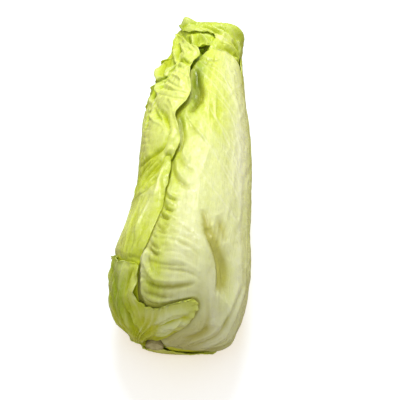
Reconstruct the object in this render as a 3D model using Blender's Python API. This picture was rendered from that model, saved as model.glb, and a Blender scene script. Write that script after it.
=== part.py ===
# Sugarloaf chicory: a tall, tight head of leaves, cut at the stem and lying on its side.
# Metres, +Z up. The head lies along Y, from the cut stem at -Y to the crown at +Y.
# The origin is on the flat spot that it rests on.
#
# Every place on the head is given by an azimuth, 0 upwards and positive towards +X, and by t,
# which runs along the side of the head from 0 at the stem to 1 at the crown.
# The skin is the outer surface of the head. Each leaf lies at its own depth under the skin,
# which grows by one leaf wherever a leaf further out covers it.

import math

import bmesh
import bpy
import numpy as np
from mathutils import Vector
from mathutils.geometry import delaunay_2d_cdt

# Head: y, half width, half height, height of the centre, sideways shift of the centre
HEAD_STATIONS = [
    (-0.1500, 0.0092, 0.0088, 0.0230, -0.016),
    (-0.1512, 0.0215, 0.0200, 0.0280, -0.009),
    (-0.1475, 0.0370, 0.0340, 0.0350, 0.000),
    (-0.1340, 0.0520, 0.0490, 0.0440, 0.001),
    (-0.1000, 0.0590, 0.0560, 0.0525, 0.000),
    (-0.0550, 0.0560, 0.0535, 0.0500, 0.000),
    (0.0000, 0.0530, 0.0505, 0.0470, 0.000),
    (0.0500, 0.0500, 0.0475, 0.0440, -0.001),
    (0.1000, 0.0450, 0.0430, 0.0395, -0.002),
    (0.1400, 0.0380, 0.0360, 0.0365, -0.002),
    (0.1660, 0.0325, 0.0300, 0.0345, -0.002),
    (0.1775, 0.0180, 0.0165, 0.0340, -0.001),
]
FLOOR_BLEND = 0.003
FLOOR_CALM = (0.003, 0.014)
SPINE_ENDS = (-0.085, 0.130)

# Soft rises and hollows of the whole head: azimuth, t, spread in degrees, spread in t, height
SWELLS = [
    (0, 0.173, 30, 0.088, 0.0050),
    (47, 0.205, 17, 0.100, -0.0055),
    (-80, 0.099, 30, 0.069, 0.0030),
    (82, 0.065, 36, 0.044, 0.0055),
    (108, 0.080, 24, 0.036, 0.0045),
    (-80, 0.430, 26, 0.150, -0.0055),
    (-80, 0.660, 18, 0.045, 0.0025),
    (-4, 0.648, 9, 0.127, -0.0030),
    (-44, 0.795, 11, 0.059, -0.0070),
    (-68, 0.795, 9, 0.059, 0.0025),
    (82, 0.790, 24, 0.130, -0.0045),
    (-8, 0.869, 14, 0.022, -0.0060),
    (-75, 0.883, 20, 0.029, -0.0030),
    (50, 0.955, 30, 0.029, 0.0085),
    (-42, 0.955, 16, 0.022, 0.0060),
]

# Leaves
BLADE = 0.0009
GAP = 0.0013
PITCH = BLADE + GAP
MARGIN_RAMP = (0.004, 0.015)
FRILL_REACH = 0.013
FRILL_START = (0.03, 0.15)
LONG_WAVE = 2.7
SLANT_START = 0.08

# Leaves, outermost first. margins: t, azimuth of the left margin, azimuth of the right one.
# slant: the azimuth past which the leaf's rows rise to the right, and t gained per degree.
# rib: azimuth at the base and at the tip. frill: steady lift, wave height and wave length.
LEAVES = {
    "leaf_under": dict(
        margins=[
            (0.000, 148, 214), (0.080, 128, 232), (0.217, 112, 246), (0.462, 107, 251),
            (0.657, 116, 245), (0.785, 134, 232), (0.843, 154, 212), (0.868, 176, 190),
        ],
        rib=(181, 183), rib_height=0.0, frill=(0.0015, 0.0040, 0.046),
    ),
    "leaf_lower_left": dict(
        margins=[
            (0.000, -128, 14), (0.055, -140, 20), (0.085, -143, 24), (0.098, -143, 21),
            (0.100, -143, 4), (0.101, -143, -16), (0.108, -143, -29), (0.120, -142, -36),
            (0.136, -142, -38), (0.160, -140, -34), (0.186, -136, -33), (0.201, -134, -42),
            (0.214, -131, -56), (0.232, -125, -64), (0.250, -115, -80), (0.262, -104, -92),
        ],
        slant=(-17, 0.00068),
        rib=(-76, -100), rib_height=0.0015, frill=(0.0010, 0.0022, 0.034),
    ),
    "leaf_left_low": dict(
        margins=[
            (0.000, -150, -78), (0.080, -160, -44), (0.150, -162, -37), (0.205, -163, -33),
            (0.235, -162, -27), (0.288, -160, -23), (0.340, -155, -20), (0.360, -146, -20),
            (0.370, -128, -20), (0.376, -100, -20), (0.379, -62, -20), (0.384, -44, -20),
            (0.400, -34, -19), (0.422, -31, -19), (0.445, -29, -19), (0.466, -27, -20),
            (0.480, -25, -22),
        ],
        rib=(-112, -96), rib_height=0.0018, frill=(0.0008, 0.0020, 0.040),
    ),
    "leaf_left": dict(
        margins=[
            (0.000, -170, -110), (0.080, -176, -60), (0.217, -180, -46), (0.330, -178, -40),
            (0.378, -177, -28), (0.425, -175, -24), (0.460, -172, -23), (0.487, -170, -16),
            (0.520, -165, -12), (0.560, -158, -15), (0.605, -149, -20), (0.645, -138, -12),
            (0.680, -120, -8), (0.715, -92, -10), (0.745, -64, -12), (0.770, -50, -12),
            (0.790, -46, -10), (0.812, -47, -4), (0.838, -52, -9), (0.860, -57, -24),
            (0.878, -61, -32), (0.896, -62, -40), (0.908, -60, -50),
        ],
        rib=(-140, -46), rib_height=0.0016, frill=(0.0040, 0.0050, 0.038),
    ),
    "leaf_right": dict(
        margins=[
            (0.000, 20, 112), (0.080, -40, 116), (0.158, -62, 112), (0.315, -58, 100), (0.511, -44, 84),
            (0.667, -26, 72), (0.746, -16, 67), (0.795, -8, 62), (0.824, 0, 55), (0.840, 9, 44),
            (0.845, 18, 32),
        ],
        rib=(66, 24), rib_height=0.0030, frill=(0.0006, 0.0014, 0.050),
    ),
    "leaf_right_back": dict(
        margins=[
            (0.000, 92, 160), (0.080, 64, 176), (0.217, 50, 186), (0.462, 46, 186),
            (0.657, 52, 176), (0.804, 62, 164), (0.883, 76, 148), (0.907, 94, 128),
        ],
        rib=(124, 110), rib_height=0.0020, frill=(0.0004, 0.0010, 0.044),
    ),
    "leaf_hood": dict(
        margins=[
            (0.000, 100, 156), (0.099, 78, 184), (0.315, 52, 206), (0.560, 32, 224), (0.726, 10, 240),
            (0.814, 4, 250), (0.868, 8, 256), (0.890, 13, 262), (0.904, 8, 267), (0.913, -6, 269),
            (0.914, -20, 270), (0.916, -34, 271), (0.931, -48, 272), (0.957, -54, 250),
            (0.983, 0, 210),
        ],
        rib=(130, 104), rib_height=0.0015, frill=(0.0030, 0.0040, 0.036),
    ),
    "leaf_crown_left": dict(
        margins=[
            (0.000, -132, -70), (0.099, -142, -52), (0.315, -143, -34), (0.560, -143, -24),
            (0.706, -143, -20), (0.795, -134, -22), (0.822, -112, -25), (0.835, -82, -28),
            (0.841, -66, -30), (0.871, -63, -33), (0.900, -63, -40), (0.922, -60, -52),
        ],
        rib=(-100, -84), rib_height=0.0012, frill=(0.0016, 0.0042, 0.036),
    ),
    "leaf_back": dict(
        margins=[
            (0.000, 172, 238), (0.099, 156, 260), (0.315, 144, 268), (0.560, 142, 264),
            (0.755, 148, 262), (0.818, 144, 274), (0.842, 136, 306), (0.852, 130, 328),
            (0.858, 124, 346), (0.866, 120, 360), (0.882, 116, 373), (0.922, 112, 382),
            (0.949, 122, 366), (0.959, 150, 330),
        ],
        rib=(206, 202), rib_height=0.0010, frill=(0.0010, 0.0030, 0.036),
    ),
    "leaf_front": dict(
        margins=[
            (0.000, -32, 34), (0.099, -56, 58), (0.315, -66, 66), (0.560, -62, 62), (0.740, -54, 52),
            (0.795, -40, 46), (0.824, -32, 40), (0.851, -22, 22), (0.859, -12, 6),
        ],
        rib=(0, -4), rib_height=0.0010, frill=(0.0010, 0.0036, 0.034),
    ),
}
RIB_LENGTH = 0.72
RIB_HALF_WIDTH = (0.0140, 0.0030)

# Triangle grid on the head that all leaves share, so that facets lie parallel
COLUMN_STEP = math.radians(13.0)
ROW_STEPS = [(0.0, 0.21, 8), (0.21, 0.87, 19), (0.87, 1.0, 5)]
OUTLINE_STEP = 0.009
LEAST_COLUMN = 0.0055
LATTICE_CLEAR = 0.45
WIDTH_ROW = 0.4

# Heart: the packed inner leaves, with their tips standing out at the crown
HEART_ROWS = (0.075, 0.978)
HEART_ROW_COUNT = 19
HEART_COLUMN_COUNT = 26
HEART_DOME_START = 0.80
HEART_GAP = 0.0014
HEART_WRINKLE = 0.0008
HEART_FOLDS = 5
HEART_TWIST = 9
HEART_CAP = 0.004
TIP_COUNT = 6
TIP_TURN = 0.382
TIP_COLUMNS = 8
TIP_STEPS = 7
TIP_GAP = 0.0030
TIP_ROWS = (0.78, 0.955)
TIP_HALF_WIDTH = math.radians(42)
TIP_NARROWS = 0.93
TIP_ROUND = 2.5
TIP_PITCH = 0.0017
TIP_BLADE = 0.0010
TIP_WAVE = 0.0008
TIP_RIPPLES = 9

# Stem: the cut stub that the leaves grow from
STEM_CUT_Y = -0.1515
STEM_RIM_BEVEL = 0.0012
STEM_HALF_WIDTH = 0.0080
STEM_HALF_HEIGHT = 0.0075
STEM_TAPER = 0.20
STEM_FLUTES = 7
STEM_FLUTE_DEPTH = 0.0004
STEM_SIDES = 36
HEART_STEM_GAP = 0.0004

# Finishes: colour and roughness
LEAF_FINISH = (0.66, 0.74, 0.32), 0.42
HEART_FINISH = (0.80, 0.82, 0.42), 0.45
STEM_FINISH = (0.86, 0.80, 0.62), 0.55


def smooth_step(x):
    x = np.clip(x, 0.0, 1.0)
    return x * x * (3.0 - 2.0 * x)


def through(points, count):
    """A smooth curve through the points: centripetal Catmull-Rom, as rows of samples."""
    points = np.asarray(points, float)
    gaps = np.sqrt(np.linalg.norm(np.diff(points[:, :2], axis=0), axis=1))
    knots = np.concatenate([[0.0], np.cumsum(gaps)])
    points = np.vstack([2 * points[0] - points[1], points, 2 * points[-1] - points[-2]])
    knots = np.concatenate([[-gaps[0]], knots, [knots[-1] + gaps[-1]]])
    rows = []
    for k in np.linspace(0.0, knots[-2], count):
        i = min(max(np.searchsorted(knots, k, side="right") - 1, 1), len(knots) - 3)
        k0, k1, k2, k3 = knots[i - 1 : i + 3]
        p0, p1, p2, p3 = points[i - 1 : i + 3]
        a1 = ((k1 - k) * p0 + (k - k0) * p1) / (k1 - k0)
        a2 = ((k2 - k) * p1 + (k - k1) * p2) / (k2 - k1)
        a3 = ((k3 - k) * p2 + (k - k2) * p3) / (k3 - k2)
        b1 = ((k2 - k) * a1 + (k - k0) * a2) / (k2 - k0)
        b2 = ((k3 - k) * a2 + (k - k1) * a3) / (k3 - k1)
        rows.append(((k2 - k) * b1 + (k - k1) * b2) / (k2 - k1))
    return np.array(rows)


HEAD_CURVE = through(HEAD_STATIONS, 500)
HEAD_RUN = np.concatenate(
    [[0.0], np.cumsum(np.linalg.norm(np.diff(HEAD_CURVE[:, :2], axis=0), axis=1))]
)
SIDE_LENGTH = HEAD_RUN[-1]
SPINE = HEAD_CURVE[np.argmin(HEAD_CURVE[:, 0]) :]


def section(t):
    """y, half width, half height, centre height and centre shift of the head at t."""
    run = np.asarray(t) * SIDE_LENGTH
    return [np.interp(run, HEAD_RUN, HEAD_CURVE[:, i]) for i in range(5)]


def turned(azimuth, middle):
    """The azimuth less middle, brought within half a turn of 0."""
    return (azimuth - middle + math.pi) % (2 * math.pi) - math.pi


def swell(azimuth, t):
    height = np.zeros(np.broadcast(azimuth, t).shape)
    for middle, row, spread, row_spread, rise in SWELLS:
        across = turned(azimuth, math.radians(middle)) / math.radians(spread)
        along = (t - row) / row_spread
        height += rise * np.exp(-(across**2) - along**2)
    return height


def skin_point(azimuth, t):
    """A point of the head's outer surface, flattened where it lies on the ground."""
    y, half_width, half_height, centre, shift = section(t)
    sine, cosine = np.sin(azimuth), np.cos(azimuth)
    reach = half_width * half_height / np.hypot(half_height * sine, half_width * cosine)
    reach = reach + swell(azimuth, t)
    down = np.maximum(-cosine, 1e-3)
    ground = np.where(cosine < -1e-3, centre / down, 1.0)
    blend = np.maximum(FLOOR_BLEND - np.abs(reach - ground), 0.0) / FLOOR_BLEND
    reach = np.minimum(reach, ground) - blend**2 * FLOOR_BLEND / 4
    x = shift + reach * sine
    z = centre + reach * cosine
    return np.stack([x, y + 0 * x, z], axis=-1)


def outward(azimuth, t):
    """The direction in which layers are counted: away from a spine inside the head."""
    point = skin_point(azimuth, t)
    spine_y = np.clip(point[..., 1], *SPINE_ENDS)
    centre, shift = [np.interp(spine_y, SPINE[:, 0], SPINE[:, i]) for i in (3, 4)]
    away = point - np.stack([shift, spine_y, centre], axis=-1)
    return away / np.linalg.norm(away, axis=-1, keepdims=True)


def ground_calm(azimuth, t):
    """0 where the skin lies on the ground, 1 well above it."""
    low, high = FLOOR_CALM
    return smooth_step((skin_point(azimuth, t)[..., 2] - low) / (high - low))


def girth(t):
    """Mean radius of the head at t."""
    _, half_width, half_height, _, _ = section(t)
    return (half_width + half_height) / 2


def leaf_middle(leaf):
    """The azimuth halfway between a leaf's furthest margins."""
    margins = np.radians([row[1:] for row in leaf["margins"]])
    return (margins[:, 0].min() + margins[:, 1].max()) / 2


def leaf_outline(leaf, step):
    """The leaf's margin as azimuth and t, anticlockwise from the base's left corner."""
    rows = [(t * 3, math.radians(a), math.radians(b)) for t, a, b in leaf["margins"]]
    left = through([(t, a, 0) for t, a, _ in rows], 240)[:, [1, 0]]
    right = through([(t, b, 0) for t, _, b in rows], 240)[:, [1, 0]]
    loop = np.vstack([left[:1], right, left[::-1]])
    loop[:, 1] = np.clip(loop[:, 1] / 3, 0.0, 1.0)
    start, rate = leaf.get("slant", (0.0, 0.0))
    past = np.maximum(np.degrees(loop[:, 0]) - start, 0.0)
    loop[:, 1] += rate * past * smooth_step(loop[:, 1] / SLANT_START)
    flat = np.column_stack([loop[:, 0] * girth(loop[:, 1]), loop[:, 1] * SIDE_LENGTH])
    run = np.concatenate([[0.0], np.cumsum(np.linalg.norm(np.diff(flat, axis=0), axis=1))])
    count = int(round(run[-1] / step))
    at = np.linspace(0.0, run[-1], count, endpoint=False)
    return np.column_stack([np.interp(at, run, loop[:, i]) for i in range(2)])


def margin_distance(leaf, azimuth, t):
    """Distance inside a leaf's margin, negative outside it, and how far round it that is."""
    middle = leaf_middle(leaf)
    outline = leaf["fine_outline"]
    u = turned(azimuth, middle) + middle
    point = np.stack([u * girth(t), t * SIDE_LENGTH], axis=-1).reshape(-1, 2)
    start = np.column_stack([outline[:, 0] * girth(outline[:, 1]), outline[:, 1] * SIDE_LENGTH])
    span = np.roll(start, -1, axis=0) - start
    lengths = np.linalg.norm(span, axis=1)
    round_to = np.concatenate([[0.0], np.cumsum(lengths)[:-1]])
    best = np.full(len(point), np.inf)
    where = np.zeros(len(point))
    inside = np.zeros(len(point), bool)
    for a, d, length, before in zip(start, span, lengths, round_to):
        if length < 1e-9:
            continue
        share = np.clip(((point - a) @ d) / length**2, 0.0, 1.0)
        away = np.linalg.norm(point - a - share[:, None] * d, axis=1)
        nearer = away < best
        best = np.where(nearer, away, best)
        where = np.where(nearer, before + share * length, where)
        crosses = (a[1] > point[:, 1]) != (a[1] + d[1] > point[:, 1])
        rise = d[1] if abs(d[1]) > 1e-12 else 1e-12
        left_of = point[:, 0] < a[0] + (point[:, 1] - a[1]) / rise * d[0]
        inside ^= crosses & left_of
    shape = np.broadcast(azimuth, t).shape
    return np.where(inside, best, -best).reshape(shape), where.reshape(shape)


def cover(leaf, azimuth, t):
    """1 under a leaf, falling to 0 a little past its margin."""
    distance, _ = margin_distance(leaf, azimuth, t)
    near, far = MARGIN_RAMP
    return smooth_step((far + distance) / (far - near))


def depth_and_open(order, azimuth, t):
    """Depth under the skin of the leaf at this place in the order, and 1 where it is in view."""
    depth = np.zeros(np.broadcast(azimuth, t).shape)
    in_view = np.ones(depth.shape)
    for leaf in list(LEAVES.values())[:order]:
        covered = cover(leaf, azimuth, t)
        depth += PITCH * covered
        in_view *= 1.0 - covered
    return depth, in_view


def frill(leaf, azimuth, t):
    """Lift of a leaf's waved margin off the leaves beneath."""
    steady, wave, length = leaf["frill"]
    distance, around = margin_distance(leaf, azimuth, t)
    near = np.exp(-((np.maximum(distance, 0.0) / FRILL_REACH) ** 2))
    waves = 0.5 + 0.5 * np.sin(2 * math.pi * around / length)
    waves *= 0.75 + 0.25 * np.sin(2 * math.pi * around / (length * LONG_WAVE) + 1.0)
    low, high = FRILL_START
    return near * smooth_step((t - low) / (high - low)) * (steady + wave * waves)


def rib(leaf, azimuth, t):
    """Height of the pale rib, broad at the base and fading towards the tip."""
    base, tip = np.radians(leaf["rib"])
    share = np.clip(t / leaf["margins"][-1][0] / RIB_LENGTH, 0.0, 1.0)
    line = base + (tip - base) * share * RIB_LENGTH
    half = RIB_HALF_WIDTH[0] + (RIB_HALF_WIDTH[1] - RIB_HALF_WIDTH[0]) * share
    away = turned(azimuth, line) * girth(t) / half
    return leaf["rib_height"] * (1.0 - share) * np.exp(-(away**2))


def shared_lattice():
    """The rows and columns that all leaves are cut from, staggered into even triangles."""
    rows = []
    for low, high, count in ROW_STEPS:
        rows += list(np.linspace(low, high, count, endpoint=False))
    columns = int(round(2 * math.pi / COLUMN_STEP))
    places = []
    for i, t in enumerate(rows[1:], start=1):
        every = 2 if girth(t) * COLUMN_STEP < LEAST_COLUMN else 1
        for j in range(0, columns, every):
            places.append(((j + 0.5 * every * (i % 2)) * 2 * math.pi / columns, t))
    return np.array(places)


def closed_sheet(name, outer, inner, triangles):
    """One closed object from two faces of the same triangles, joined round their rim."""
    count = len(outer)
    edges = {}
    for a, b, c in triangles:
        for edge in ((a, b), (b, c), (c, a)):
            edges[edge] = edges.get(edge, 0) + 1
    rim = [edge for edge in edges if (edge[1], edge[0]) not in edges]
    faces = [tuple(face) for face in triangles]
    faces += [(c + count, b + count, a + count) for a, b, c in triangles]
    for a, b in rim:
        faces.append((b, a, a + count))
        faces.append((b, a + count, b + count))
    mesh = bpy.data.meshes.new(name)
    mesh.from_pydata([tuple(p) for p in np.vstack([outer, inner])], [], faces)
    mesh.validate()
    body = bpy.data.objects.new(name, mesh)
    bpy.context.scene.collection.objects.link(body)
    return body


def anticlockwise(face, places):
    """The triangle wound so that it faces out of the head."""
    a, b, c = face
    (ax, ay), (bx, by), (cx, cy) = places[a], places[b], places[c]
    return (a, b, c) if (bx - ax) * (cy - ay) > (cx - ax) * (by - ay) else (a, c, b)


def sheet_triangles(outline, lattice, middle):
    """Triangles of the area in an outline: its own points first, then the lattice's."""
    u = turned(lattice[:, 0], middle) + middle
    inner = np.column_stack([u, lattice[:, 1]])
    scale = np.array([girth(WIDTH_ROW), SIDE_LENGTH])
    edge = outline * scale
    spot = inner * scale
    from_edge = np.full(len(spot), np.inf)
    inside = np.zeros(len(spot), bool)
    for a, b in zip(edge, np.roll(edge, -1, axis=0)):
        d = b - a
        share = np.clip(((spot - a) @ d) / max(d @ d, 1e-12), 0.0, 1.0)
        from_edge = np.minimum(from_edge, np.linalg.norm(spot - a - share[:, None] * d, axis=1))
        crosses = (a[1] > spot[:, 1]) != (b[1] > spot[:, 1])
        rise = d[1] if abs(d[1]) > 1e-12 else 1e-12
        inside ^= crosses & (spot[:, 0] < a[0] + (spot[:, 1] - a[1]) / rise * d[0])
    kept = inner[inside & (from_edge > OUTLINE_STEP * LATTICE_CLEAR)]
    places = np.vstack([outline, kept])
    points = [Vector(p) for p in places * scale * 100]
    loop = list(range(len(outline)))
    made = delaunay_2d_cdt(points, [], [loop], 1, 1e-6)
    vertices, triangles, origins = made[0], made[2], made[3]
    out = np.array([places[origins[i][0]] for i in range(len(vertices))])
    return out, [anticlockwise(face, out) for face in triangles]


def finish_material(name, colour, roughness):
    material = bpy.data.materials.new(name)
    material.use_nodes = True
    shader = material.node_tree.nodes["Principled BSDF"]
    shader.inputs["Base Color"].default_value = (*colour, 1.0)
    shader.inputs["Roughness"].default_value = roughness
    shader.inputs["Metallic"].default_value = 0.0
    return material


def leaf_shape(order, leaf, azimuth, t):
    """Outer and inner points of a leaf."""
    point, normal = skin_point(azimuth, t), outward(azimuth, t)
    depth, in_view = depth_and_open(order, azimuth, t)
    free = in_view * ground_calm(azimuth, t)
    lift = frill(leaf, azimuth, t) * free - depth
    ridge = rib(leaf, azimuth, t) * free
    outer = point + normal * (lift + ridge)[..., None]
    inner = point + normal * (lift - BLADE)[..., None]
    return outer, inner


def build_leaf(order, name, leaf, lattice):
    outline = leaf_outline(leaf, OUTLINE_STEP)
    places, triangles = sheet_triangles(outline, lattice, leaf_middle(leaf))
    outer, inner = leaf_shape(order, leaf, places[:, 0], places[:, 1])
    body = closed_sheet(name, outer, inner, triangles)
    body.data.materials.append(finish_material(name, *LEAF_FINISH))
    return body


def heart_depth(azimuth, t):
    depth, _ = depth_and_open(len(LEAVES), azimuth, t)
    return depth + HEART_GAP


def heart_core():
    """The packed inner leaves as one rounded body, closed at the base and domed at the crown."""
    low, high = HEART_ROWS
    bm = bmesh.new()
    rings = []
    for t in np.linspace(low, high, HEART_ROW_COUNT, endpoint=False):
        azimuth = np.arange(HEART_COLUMN_COUNT) * 2 * math.pi / HEART_COLUMN_COUNT
        row = np.full(HEART_COLUMN_COUNT, t)
        wrinkle = HEART_WRINKLE * (1 + np.sin(HEART_FOLDS * azimuth + HEART_TWIST * t)) / 2
        inward = (heart_depth(azimuth, row) + wrinkle)[:, None]
        points = skin_point(azimuth, row) - outward(azimuth, row) * inward
        middle = points.mean(axis=0)
        past = max(t - HEART_DOME_START, 0.0) / (high - HEART_DOME_START)
        points = middle + (points - middle) * math.sqrt(1.0 - past**2)
        rings.append([bm.verts.new(p) for p in points])
    for lower, upper in zip(rings, rings[1:]):
        for i in range(HEART_COLUMN_COUNT):
            j = (i + 1) % HEART_COLUMN_COUNT
            bm.faces.new((lower[i], lower[j], upper[j], upper[i]))
    floor_y = max(v.co.y for v in rings[0])
    for v in rings[0]:
        v.co.y = floor_y
    for ring, reach in ((rings[0], 0.0), (rings[-1], HEART_CAP)):
        middle = sum((v.co for v in ring), Vector()) / HEART_COLUMN_COUNT
        tip = bm.verts.new(middle + Vector((0, reach, 0)))
        for i in range(HEART_COLUMN_COUNT):
            bm.faces.new((ring[i], ring[(i + 1) % HEART_COLUMN_COUNT], tip))
    bmesh.ops.recalc_face_normals(bm, faces=bm.faces)
    bmesh.ops.triangulate(bm, faces=bm.faces)
    mesh = bpy.data.meshes.new("heart")
    bm.to_mesh(mesh)
    bm.free()
    body = bpy.data.objects.new("heart", mesh)
    bpy.context.scene.collection.objects.link(body)
    return body, floor_y


def heart_tip(number):
    """A small inner leaf that stands out of the heart at the crown, with a waved tip."""
    middle = number * 2 * math.pi * TIP_TURN
    low, high = TIP_ROWS
    across, along = TIP_COLUMNS, TIP_STEPS
    places = []
    for i in range(along + 1):
        share = i / along
        half = TIP_HALF_WIDTH * math.sqrt(1.0 - TIP_NARROWS * share**TIP_ROUND)
        for j in range(across + 1):
            places.append((middle + half * (2 * j / across - 1), low + (high - low) * share))
    places = np.array(places)
    azimuth, t = places[:, 0], places[:, 1]
    point, normal = skin_point(azimuth, t), outward(azimuth, t)
    share = (t - low) / (high - low)
    wave = TIP_WAVE * share**2 * np.sin(turned(azimuth, middle) * TIP_RIPPLES + number)
    depth = heart_depth(azimuth, t) + TIP_GAP + number * TIP_PITCH + wave
    outer = point - normal * depth[:, None]
    inner = outer - normal * TIP_BLADE
    triangles = []
    for i in range(along):
        for j in range(across):
            a = i * (across + 1) + j
            b, c, d = a + 1, a + across + 1, a + across + 2
            triangles += [(a, b, d), (a, d, c)]
    return closed_sheet(f"tip_{number}", outer, inner, triangles)


def join_into(body, parts, solver):
    """One Boolean union of the parts into the body. The parts are then removed."""
    group = bpy.data.collections.new("parts")
    bpy.context.scene.collection.children.link(group)
    for part in parts:
        bpy.context.scene.collection.objects.unlink(part)
        group.objects.link(part)
    union = body.modifiers.new("union", "BOOLEAN")
    union.operation = "UNION"
    union.operand_type = "COLLECTION"
    union.collection = group
    union.solver = solver
    bpy.context.view_layer.update()
    graph = bpy.context.evaluated_depsgraph_get()
    joined = bpy.data.meshes.new_from_object(body.evaluated_get(graph))
    body.modifiers.clear()
    body.data = joined
    for part in parts:
        bpy.data.objects.remove(part)
    bpy.data.collections.remove(group)


def build_heart():
    body, floor_y = heart_core()
    join_into(body, [heart_tip(i) for i in range(TIP_COUNT)], "EXACT")
    body.data.materials.clear()
    body.data.materials.append(finish_material("heart", *HEART_FINISH))
    return floor_y


def build_stem(heart_floor_y):
    """The cut stub, with shallow flutes, leaning the way that the leaves' bases lie inside it."""
    _, _, _, centre, shift = [float(v) for v in section(0.0)]
    lean = -outward(np.linspace(0, 2 * math.pi, STEM_SIDES), np.zeros(STEM_SIDES)).mean(axis=0)
    lean_x, lean_z = lean[[0, 2]] / lean[1]
    end_y = heart_floor_y - HEART_STEM_GAP
    profile = [
        (STEM_CUT_Y, STEM_RIM_BEVEL),
        (STEM_CUT_Y + STEM_RIM_BEVEL, 0.0),
        (HEAD_STATIONS[0][0], 0.0),
        (end_y, STEM_TAPER * (end_y - STEM_CUT_Y)),
    ]
    bm = bmesh.new()
    rings = []
    for y, shrink in profile:
        inward = max(y - HEAD_STATIONS[0][0], 0.0)
        ring = []
        for i in range(STEM_SIDES):
            angle = 2 * math.pi * i / STEM_SIDES
            flute = STEM_FLUTE_DEPTH * (1 + math.cos(STEM_FLUTES * angle)) / 2
            x = shift + lean_x * inward + (STEM_HALF_WIDTH - shrink - flute) * math.sin(angle)
            z = centre + lean_z * inward + (STEM_HALF_HEIGHT - shrink - flute) * math.cos(angle)
            ring.append(bm.verts.new((x, y, z)))
        rings.append(ring)
    for lower, upper in zip(rings, rings[1:]):
        for i in range(STEM_SIDES):
            j = (i + 1) % STEM_SIDES
            bm.faces.new((lower[i], lower[j], upper[j], upper[i]))
    bm.faces.new(rings[0])
    bm.faces.new(rings[-1])
    bmesh.ops.recalc_face_normals(bm, faces=bm.faces)
    mesh = bpy.data.meshes.new("stem")
    bm.to_mesh(mesh)
    bm.free()
    body = bpy.data.objects.new("stem", mesh)
    bpy.context.scene.collection.objects.link(body)
    mesh.materials.append(finish_material("stem", *STEM_FINISH))


def main():
    for old in list(bpy.data.objects):
        bpy.data.objects.remove(old)
    for leaf in LEAVES.values():
        leaf["fine_outline"] = leaf_outline(leaf, OUTLINE_STEP / 2)
    lattice = shared_lattice()
    for order, (name, leaf) in enumerate(LEAVES.items()):
        build_leaf(order, name, leaf, lattice)
    build_stem(build_heart())


main()
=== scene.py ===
import math

import bpy
import numpy as np
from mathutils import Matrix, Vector


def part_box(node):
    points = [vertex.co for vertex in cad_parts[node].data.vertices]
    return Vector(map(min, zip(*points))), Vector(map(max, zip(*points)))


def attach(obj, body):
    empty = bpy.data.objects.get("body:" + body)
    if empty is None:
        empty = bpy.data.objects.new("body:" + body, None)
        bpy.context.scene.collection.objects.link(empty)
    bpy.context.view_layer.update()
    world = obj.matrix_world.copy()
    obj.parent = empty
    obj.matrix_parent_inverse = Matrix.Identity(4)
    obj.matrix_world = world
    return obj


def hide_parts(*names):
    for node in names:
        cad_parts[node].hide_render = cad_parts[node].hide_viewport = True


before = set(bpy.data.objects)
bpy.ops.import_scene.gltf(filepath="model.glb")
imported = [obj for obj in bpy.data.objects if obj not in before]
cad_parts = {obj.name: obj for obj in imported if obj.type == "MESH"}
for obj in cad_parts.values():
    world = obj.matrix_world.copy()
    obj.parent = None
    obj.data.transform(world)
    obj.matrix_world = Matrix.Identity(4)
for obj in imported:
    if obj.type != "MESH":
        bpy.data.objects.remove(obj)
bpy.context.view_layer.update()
bpy.ops.object.select_all(action="DESELECT")


# The underside leaf
# The outermost leaf, which the head lies on, pressed flat along its middle. Every leaf is a thin
# sheet that follows the form of the whole head, and the outermost ones are made first.

MM = 0.001

# y, half width, half height, height of the centre, sideways shift of the centre
HEAD_STATIONS = [
    (-0.1500, 0.0092, 0.0088, 0.0230, -0.016),
    (-0.1512, 0.0215, 0.0200, 0.0280, -0.009),
    (-0.1475, 0.0370, 0.0340, 0.0350, 0.000),
    (-0.1340, 0.0520, 0.0490, 0.0440, 0.001),
    (-0.1000, 0.0590, 0.0560, 0.0525, 0.000),
    (-0.0550, 0.0560, 0.0535, 0.0500, 0.000),
    (0.0000, 0.0530, 0.0505, 0.0470, 0.000),
    (0.0500, 0.0500, 0.0475, 0.0440, -0.001),
    (0.1000, 0.0450, 0.0430, 0.0395, -0.002),
    (0.1400, 0.0380, 0.0360, 0.0365, -0.002),
    (0.1660, 0.0325, 0.0300, 0.0345, -0.002),
    (0.1775, 0.0180, 0.0165, 0.0340, -0.001),
]
HEAD_SAMPLES = 500
FLOOR_BLEND = 0.003
FLOOR_CALM = (0.003, 0.014)
SPINE_ENDS = (-0.085, 0.130)
BLADE = 0.0008
PITCH = 0.0022
FINE = 0.00105
COARSE = 0.0032

# Soft rises and hollows of the whole head: azimuth, t, spread in degrees, spread in t, height
SWELLS = [
    (0, 0.173, 30, 0.088, 0.0050),
    (47, 0.205, 17, 0.100, -0.0055),
    (-80, 0.099, 30, 0.069, 0.0030),
    (82, 0.065, 36, 0.044, 0.0055),
    (108, 0.080, 24, 0.036, 0.0045),
    (-80, 0.430, 26, 0.150, -0.0055),
    (-80, 0.660, 18, 0.045, 0.0025),
    (-4, 0.648, 9, 0.127, -0.0030),
    (-44, 0.795, 11, 0.059, -0.0070),
    (-68, 0.795, 9, 0.059, 0.0025),
    (82, 0.790, 24, 0.130, -0.0045),
    (-8, 0.869, 14, 0.022, -0.0060),
    (-75, 0.883, 20, 0.029, -0.0030),
    (50, 0.955, 30, 0.029, 0.0085),
    (-42, 0.955, 16, 0.022, 0.0060),
]


def smooth_step(x):
    x = np.clip(x, 0.0, 1.0)
    return x * x * (3.0 - 2.0 * x)


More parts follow.
